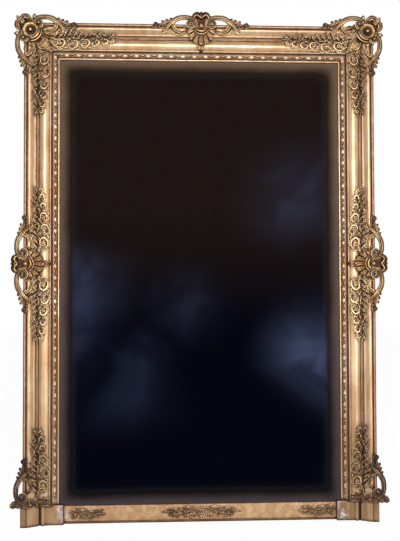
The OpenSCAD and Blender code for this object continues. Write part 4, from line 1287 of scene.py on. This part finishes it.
def corner_half(casting, place):
    """What the corner has once over each rail."""
    lobe_rims(casting, [(-9, 9, 94, 2.4, 4), (-9, 18, 95, 4.4, 5.4), (0, 24.5, 96, 5, 6), (12, 25, 96, 5, 6),
                        (22, 18, 95, 4.4, 5.4), (25, 6, 93, 2.2, 3)], (8, 4), place)
    add(casting, fan((8, -2), 20, 150, 5, 6, lambda a: 24, lambda x, y: 92, 3.0, 5), place)
    add(casting, ball((37, 21, 92), 8.4, 1.1, 14), place)
    add(casting, acanthus([(27, 8, 90), (34, 14, 92), (37, 24, 92), (34, 33, 88)], 6.0, 3, 0.4), place)
    add(casting, acanthus([(24, 2, 95), (32, 3, 97), (42, 2, 96), (52, -5, 92)], 7.5, 3), place)
    hook = [(50, -8, 92), (60, -12, 91), (70, -22, 88), (77, -38, 80)]
    add(casting, acanthus(hook, 8.0, 4, 0.5, 3.6), place)
    add(casting, acanthus([(48, 0, 92), (58, -1, 92), (70, -5, 90), (82, -14, 87)], 6.0, 4, 0.5), place)


# %% Making the corner cartouche
def corner_cartouche():
    casting = bmesh.new()
    add(casting, pad([(-20, 10), (-8, 22), (8, 24), (24, 14), (42, 10), (50, -6), (58, -24), (50, -46),
                      (30, -62), (8, -54), (-6, -46), (-14, -38), (-14, -22), (-26, -8)], 74, 87, 5))
    for place in (Matrix.Identity(4), DOWN_SIDE):
        corner_half(casting, place)
    add(casting, acanthus([(4, -4, 94), (-6, 6, 98), (-14, 14, 99), (-23, 23, 94)], 7.5, 3))
    add(casting, ball((-19, 19, 92), 5.8, 1.1, 12))
    add(casting, hoop(BOSS_AT, 14.6, 93, 3.0))
    add(casting, ball((*BOSS_AT, 96), 6.6, 1.5, 18))
    for turn in range(10, 370, 45):
        leaf = [(*around(BOSS_AT, r, turn), h) for r, h in ((13.5, 94), (18, 100), (23, 101), (28, 96))]
        add(casting, petal(leaf, 8.2, 2.2, 3.0, 8, 8))
    for turn in (60, 135, 210):
        add(casting, crescent(BOSS_AT, 21.5, turn - 52, 104, 97, 4.0, 2, 2.5))
    add(casting, crescent(BOSS_AT, 27.0, -114, 138, 96, 4.4, 0, 2.0))
    add(casting, crescent(BOSS_AT, 35.0, -112, 134, 92, 2.8, 0, 1.5))
    add(casting, fan(BOSS_AT, -119, 29, 9, 32, corner_reach, on_mitre))
    add(casting, acanthus([(54, -55, 84), (68, -69, 87), (80, -81, 83), (92, -93, 66)], 14.0, 5, 0.32, 4.0))
    add(casting, ball((78, -79, 88), 4.0, 1.0, 12))
    for at in ((50, -97, 75), (96, -51, 75)):
        flower(casting, at, 11, 5)
        curl(casting, at, 15, 200, 0.9, at[2] - 1, 2.6, 10, eye=False)
    return casting


# %% Painted shade and dust on the corner, and two of them
def corner_shade_and_dust(co):
    """Dark outside edges, partly dust and partly painted shade; dark furrows and a dark well, painted shade;
    and petals that are darker towards the inner corner.
    """
    away = math.hypot(co.x - BOSS_AT[0], co.y - BOSS_AT[1])
    well = 0.5 * step_up(away, 6, 8) * step_up(-away, -15.5, -13)
    furrow = between_ribs(co, BOSS_AT, -119, 29, 9, 38, corner_reach(math.degrees(
        math.atan2(co.y - BOSS_AT[1], co.x - BOSS_AT[0]))))
    inward = (co.x - BOSS_AT[0] - co.y + BOSS_AT[1]) * 0.7
    petals = 0.6 * step_up(inward, -8, 12) * step_up(away, 12, 14) * step_up(-away, -29, -26)
    return 0.9 * max(step_up(max(co.y, -co.x), 19, 26), well, furrow, petals)


corner = corner_cartouche()
lay(corner, "tone", corner_shade_and_dust)
for side, place in corners.items():
    set_casting(corner, side + "_corner_cartouche", place)
print("corner faces", len(corner.faces))

# %% [markdown]
# ## Sprays of leaves and flowers
# From every cartouche and foot a spray runs along the cove of the mouldings. A thin stem carries
# leaves to both sides in turn, and a seeded random varies their size and bend, so that they
# don't read as a ladder. On the glass side they roll up into C-curls, every other one round a
# flower, and small five-petalled flowers cluster on the outer side.

# %% C-curls of a spray
SPRAY_FROM, SPRAY_TO, SPRAY_U = 36, 262, 45
CROWN = [(18, 91), (28, 87), (38, 80), (46, 73), (54, 73), (62, 74), (72, 73), (80, 70), (90, 64)]
# C-curls on the glass side: where each starts and ends, how far out it bows, how far round it goes.
BRACKETS = ((42, 90, 34, 320), (88, 138, 36, 260), (134, 174, 31, 285), (170, 208, 27, 255),
            (204, 236, 23, 280), (230, 257, 16, 250))


def stem_u(t):
    return SPRAY_U + 3 * sin(radians((t - SPRAY_FROM) * 4))


def over_cove(t, u, lift=0.0):
    """A point of a spray: on the swell of leaves that fills the cove."""
    u = min(max(u, 19), 86)
    return (t, -u, lookup(CROWN, u) + lift)


def bracket(casting, start, end, bow, turn):
    """A C-curl: it leaves the stem, bows out towards the glass and rolls up at its far end."""
    length = end - start
    stations = []
    for i in range(23):
        k = i / 22
        angle = radians(205 - turn * k)
        inward = 1.0 if k < 0.6 else 1 - 0.6 * (k - 0.6) / 0.4
        t = start + length * 0.52 + length * 0.46 * cos(angle) * inward
        u = SPRAY_U + 2 + bow * 0.5 + bow * 0.5 * sin(angle) * inward
        w = 0.8 + 2.5 * sin(pi * k) ** 0.6
        stations.append((*over_cove(t, u, 2 + 2.5 * k), w, w * 1.5))
    add(casting, sweep(stations, 10, 2, 0.3))
    for i, share in ((3, 0.32), (7, 0.36), (11, 0.30)):
        x, y, h = stations[i][:3]
        size = length * share
        path = [(x - 3, y + 1.5, h - 1), (x + size * 0.3, y - size * 0.22, h + 2.5),
                (x + size * 0.75, y - size * 0.30, h + 2.5), (x + size * 1.1, y - size * 0.12, h)]
        add(casting, acanthus(path, 4.6, 3, 0.45, 2.6, 3, 14, 6))
    for i, share in ((2, 0.36), (8, 0.3)):
        x, y, h = stations[i][:3]
        size = length * share
        path = [(x, y, h - 1), (x + size * 0.4, y + size * 0.42, h + 2), (x + size, y + size * 0.62, h)]
        add(casting, acanthus(path, 4.0, 2, 0.45, 2.4, 3, 12, 6))
    x, y, h = stations[-1][:3]
    add(casting, ball((x, y, h), 3.0, 1.0, 8))


# %% Growing a spray
# Flowers on the outer side: along the spray, inwards, and their radius.
FLOWERS = ((60, 31, 7.5), (92, 27, 8.0), (104, 36, 7.0), (121, 30, 6.5), (146, 29, 7.5),
           (160, 37, 6.5), (182, 33, 7), (198, 40, 6.0), (222, 38, 5.5), (136, 41, 6))
LEAVES, LEAF_STEP = 26, 8.5
BERRIES = 30


def spray(seed):
    chance = random.Random(seed)
    casting = bmesh.new()
    stem = [(t, -stem_u(t), lookup(CROWN, stem_u(t)) - 1.5, 3.4 - t * 0.006, 3.6 - t * 0.008)
            for t in range(SPRAY_FROM, SPRAY_TO - 8, 6)]
    add(casting, sweep(stem, 8))
    for i in range(LEAVES):
        t = SPRAY_FROM + 2 + i * LEAF_STEP
        side = 1 if i % 2 == 0 else -1
        size = (25 - i * 0.5) * chance.uniform(0.72, 1.15)
        out = side * size * (0.42 if side > 0 else chance.uniform(0.45, 1.15))
        bend = chance.uniform(-0.25, 0.35)
        u = stem_u(t)
        path = [over_cove(t, u, 0), over_cove(t + size * 0.3, u + out * (0.5 + bend), 3),
                over_cove(t + size * 0.62, u + out * (0.85 + bend * 0.6), 3), over_cove(t + size, u + out, 1)]
        add(casting, acanthus(path, 5.8 - i * 0.09, 3, 0.5, 2.8, 3.5, 14, 6))
    for i, (start, end, bow, turn) in enumerate(BRACKETS):
        bracket(casting, start, end, bow, turn)
        middle = (start + end) / 2 + 2
        if i % 2 == 0:
            flower(casting, over_cove(middle, SPRAY_U + 3 + bow * 0.48, 1), bow * 0.27, 5,
                   chance.uniform(0, 70))
        else:
            leaf = [over_cove(middle - 12, SPRAY_U + 8, 1), over_cove(middle - 2, SPRAY_U + bow * 0.55, 3),
                    over_cove(middle + 11, SPRAY_U + bow * 0.6, 1)]
            add(casting, acanthus(leaf, 4.6, 3, 0.45, 2.6, 3, 14, 6))
    for t, u, r in FLOWERS:
        flower(casting, over_cove(t, u, chance.uniform(-1, 2)), r * chance.uniform(0.85, 1.1), 5,
               chance.uniform(0, 70))
    for _ in range(BERRIES):
        t = chance.uniform(48, 246)
        u = stem_u(t) + chance.uniform(-20, 4) * (1 - t / 400)
        add(casting, ball(over_cove(t, u, 2), chance.uniform(1.8, 2.8), 1.0, 8))
    for turn in (-11, 0, 11):
        end = [over_cove(SPRAY_TO - 26, SPRAY_U, 0), over_cove(SPRAY_TO - 12, SPRAY_U + turn * 0.6, 3),
               over_cove(SPRAY_TO + 4, SPRAY_U + turn, 0)]
        add(casting, acanthus(end, 4.4, 3, 0.45, 2.6, 3, 14, 6))
    return casting


# %% Ten sprays
SPRAY_SEED = 7
SPRAY_SHIFT = 48.0
plain_spray = spray(SPRAY_SEED)
lay(plain_spray, "tone", lambda co: 0.3 * step_up(co.y, 4 - SPRAY_U, 14 - SPRAY_U))
# Sprays on the top rail and at the side middles take the brighter spray gilding, painted light; those down
# the corners' sides and at the feet take the ornament gilding.
for name, place in along_rails("spray", SPRAY_SHIFT, True).items():
    given_brighter_gold = "foot" not in name and "side" not in name
    set_casting(plain_spray, name, place, "spray" if given_brighter_gold else "ornament")
print("spray faces", len(plain_spray.faces))

# %% [markdown]
# ## Feet
# On each plinth block stands a leaf that hooks out past the frame's side, then runs inwards
# along the top of the block with small rosettes under its curls.


# %% Foot leaf
def foot_leaf():
    casting = bmesh.new()
    spine = spline([(3, 37, 89, 3.4, 5), (11, 35, 90, 5.4, 6.4), (18, 28, 91, 6.2, 7), (21, 16, 91, 6.4, 7),
                    (19, 0, 91, 6.2, 7.4), (18, -20, 88, 6.4, 7.8), (20, -44, 81, 6, 7.6),
                    (17, -70, 74, 5, 7), (9, -90, 68, 3.4, 5.4), (3, -100, 63, 1.4, 4)])
    add(casting, sweep(spine, 20, 3, 0.34))
    add(casting, sweep(beside(spine[8:-6], -1.0, -2, 1.6, -0.4), 8))
    curl(casting, (6, 30), 6.0, 100, 1.2, 90, 2.4)
    for y in (22, 2, -18, -38, -58, -76):
        h = lookup(BED, -y) + 3
        outer = [(18, y, h + 3), (13, y - 5, h + 4), (7, y - 9, h + 2), (1, y - 10, h - 3)]
        add(casting, acanthus(outer, 8, 3))
        inner = [(20, y, h + 3), (26, y - 4, h + 3), (30, y - 10, h + 1), (33, y - 13, h - 2)]
        add(casting, acanthus(inner, 5.5, 2, 0.4, 2, 3, 10, 5))
    for y, size in ((12, 7.5), (-10, 7.5), (-30, 7), (-50, 6.5)):
        flower(casting, (8, y, lookup(BED, -y) + 6), size, 5, y)
    add(casting, pad([(0, 30), (14, 30), (22, 12), (22, -20), (24, -50), (18, -74), (6, -94), (0, -96)],
                     56, 72, 4))
    add(casting, pad([(0, 34), (12, 32), (20, 14), (21, -20), (0, -22)], 60, 88, 4))
    return casting


foot = foot_leaf()
for side, place in feet.items():
    set_casting(foot, side + "_foot_leaf", place, "foot")
print("foot faces", len(foot.faces))

# %% [markdown]
# ## Frieze ornaments
# The frieze has three low castings: a rosette between leafy scrolls in its middle, and a running
# sprig beside each block.

# %% Rosette and sprigs
FRIEZE_T = 12.0
FRIEZE_FACE = TIMBER_T + FRIEZE_T


def rosette():
    """A ringed rose; on either side a chain of leaves and curls that ends in a point."""
    casting = bmesh.new()
    for radius, lift, width in ((18.5, 2.0, 2.8), (12.5, 3.2, 2.2)):
        add(casting, hoop((0, 0), radius, FRIEZE_FACE + lift, width, 40))
    flower(casting, (0, 0, FRIEZE_FACE + 2.5), 10.5, 8, 0, 0.4)
    for side in (-1, 1):
        for root, tip, width in (((16, 8), (64, 17), 8.5), ((16, -9), (60, -16), 8.5),
                                 ((54, 2), (104, 13), 8.5), ((56, -4), (100, -14), 7.5),
                                 ((92, 2), (136, 2), 6.5), ((30, 0), (66, 1), 6)):
            mid = ((root[0] + tip[0]) / 2, (root[1] + tip[1]) / 2 + 4)
            path = to_side(side, [(*root, FRIEZE_FACE + 1), (*mid, FRIEZE_FACE + 4), (*tip, FRIEZE_FACE)])
            add(casting, acanthus(path, width, 4, 0.42, 1.8, 3))
        for x, y, r, start in ((36, -14, 7.5, 90), (32, 15, 7, 270), (76, 12, 7.5, 270), (82, -12, 7, 90),
                               (108, 9, 6, 270), (106, -6, 5.5, 90)):
            curl(casting, (side * x, y), r, start, side * 1.2, FRIEZE_FACE + 3, 2.0)
        for x, y, r in ((52, 6, 7), (92, 0, 6.5)):
            flower(casting, (side * x, y, FRIEZE_FACE + 4), r, 5)
    return casting


def sprig(length):
    """The same leaves and curls on a wavy stem, from the block inwards."""
    casting = bmesh.new()
    stem = [(t, 4 * sin(radians(t * 5)), FRIEZE_FACE + 1.6, 2.4, 2.6) for t in range(0, int(length) - 14, 5)]
    add(casting, sweep(stem, 8))
    for i in range(7):
        t = 2 + i * length / 8
        y = 4 * sin(radians(t * 5))
        side = 1 if i % 2 == 0 else -1
        size = 34 - i * 2
        path = [(t, y, FRIEZE_FACE + 2), (t + size * 0.35, y + side * size * 0.38, FRIEZE_FACE + 4.5),
                (t + size, y + side * size * 0.5, FRIEZE_FACE + 0.5)]
        add(casting, acanthus(path, 8.2 - i * 0.5, 3, 0.42, 1.8, 3))
        curl(casting, (t + 10, y - side * 10), 8.0 - i * 0.6, 90 * side, -side * 1.1, FRIEZE_FACE + 2.6, 2.0)
        if i % 2:
            flower(casting, (t + 4, y + side * 2, FRIEZE_FACE + 4), 6.5, 5)
    add(casting, acanthus([(length - 26, 2, FRIEZE_FACE + 2), (length - 12, 0, FRIEZE_FACE + 4),
                           (length, 1, FRIEZE_FACE)], 6, 3, 0.4, 1.6, 3))
    return casting


set_casting(rosette(), "frieze_rosette", on_frieze(), "leaf")
# How long each sprig is, and how far from its block it starts.
for side, length, gap in (("left", 124, 18), ("right", 128, 4)):
    set_casting(sprig(length), side + "_frieze_sprig", SIDES[side] @ on_frieze(gap - frieze_half), "leaf")
print("frieze ornaments done")

# %% [markdown]
# ## The band round the glass
# The sight moulding carries a pressed band: a round cup that opens towards the glass, then a
# pointed leaf, over and over. One repeat is made with few faces, since there are about a hundred,
# and laid on the moulding's slope.

# %% Leaf-and-cup band
PITCH = 39.6
BAND_U, BAND_H = 103.0, 51.2
SLOPE = math.atan2(8.0, 10.0)
# What the band leaves free above a block and at a mitre.
FREE_AT_BLOCK, FREE_AT_MITRE = 18, 14


def band_repeat():
    bm = bmesh.new()
    cup = [(8.4 * cos(radians(a)), -2.8 + 8.0 * sin(radians(a)), 0.5, 1.5, 1.9) for a in range(-20, 201, 20)]
    add(bm, sweep(cup, 6))
    add(bm, ball((0, -1.8, 0.4), 2.8, 0.8, 8))
    for t, lean, width in ((19.8, 0, 4.2), (14.2, -3, 2.4), (25.4, 3, 2.4)):
        tip = -7.5 if width > 4 else -5.5
        line = [(t, 5.5, -0.6), (t + lean * 0.2, 0, 1.6), (t + lean, tip, -0.4)]
        add(bm, blade(line, width, lambda k: sin(pi * (0.2 + 0.76 * k)) ** 0.7,
                      lambda k, s: 1.0 - 1.4 * abs(abs(s) - 0.6), 1.6, 5, 4))
    return bm


repeat = band_repeat()
on_slope = slid(0, -BAND_U, BAND_H) @ Matrix.Rotation(SLOPE, 4, "X")
top_end = HALF_W - BAND_U - FREE_AT_MITRE
side_ends = (BLOCK_H + FREE_AT_BLOCK, TOP_Z - BAND_U - FREE_AT_MITRE)
rails = [(side, mirror @ on_left(), *side_ends) for side, mirror in SIDES.items()]
for rail, place, start, end in [*rails, ("top", on_top(), -top_end, top_end)]:
    count = int((end - start) / PITCH)
    margin = (end - start - count * PITCH) / 2
    band = bmesh.new()
    for i in range(count + 1):
        add(band, stamp(repeat), on_slope @ slid(start + margin + i * PITCH))
    finish_piece(f"{rail}_sight_band", band, gold_of["band"], (), place)
print("band repeats of", PITCH, "mm,", len(repeat.faces), "faces each")

# %% [markdown]
# ## Back, hangers and fixings
# The hidden pieces already have their true shape. The boards and rails are copied with their
# doubles merged and given a small bevel, since a planed edge is never razor sharp. The screws,
# straps, rings and the glass plate keep their own meshes and only take a finish.


# %% Wooden parts and fixings
EASE = 0.0006
SEAM = 1e-6


def eased(name, material):
    bm = bmesh.new()
    bm.from_mesh(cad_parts[name].data)
    bmesh.ops.remove_doubles(bm, verts=bm.verts, dist=SEAM)
    bmesh.ops.dissolve_limit(bm, angle_limit=radians(1.0), verts=bm.verts, edges=bm.edges)
    piece = new_object(name + "_eased", bm, material)
    rounding = piece.modifiers.new("eased_edges", "BEVEL")
    rounding.width = EASE
    rounding.segments = 2
    rounding.limit_method = "ANGLE"
    rounding.angle_limit = radians(40)
    rounding.harden_normals = False
    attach(piece, "frame")
    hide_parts(name)


WOODEN = ((pine_upright, "carcass_pine", ("left_stile", "right_stile")),
          (pine_level, "carcass_pine", ("top_rail", "bottom_rail")),
          (oak, "oak_keys", ("corner_keys",)), (pine_upright, "pine_blocks", ("glazing_blocks",)),
          (board_pine, "backboard_pine", ("bottom_backboard", "middle_backboard", "top_backboard")))
for material, slot, names in WOODEN:
    for name in names:
        eased(name, material)

FINISHES = {"mirror_plate": glass, "backboard_screws": steel, "hanger_screws": steel,
            "left_hanger_strap": brass, "right_hanger_strap": brass,
            "left_hanger_ring": brass, "right_hanger_ring": brass}
for name, material in FINISHES.items():
    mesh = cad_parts[name].data
    mesh.materials.clear()
    mesh.materials.append(material)
print("finished", sorted(FINISHES))
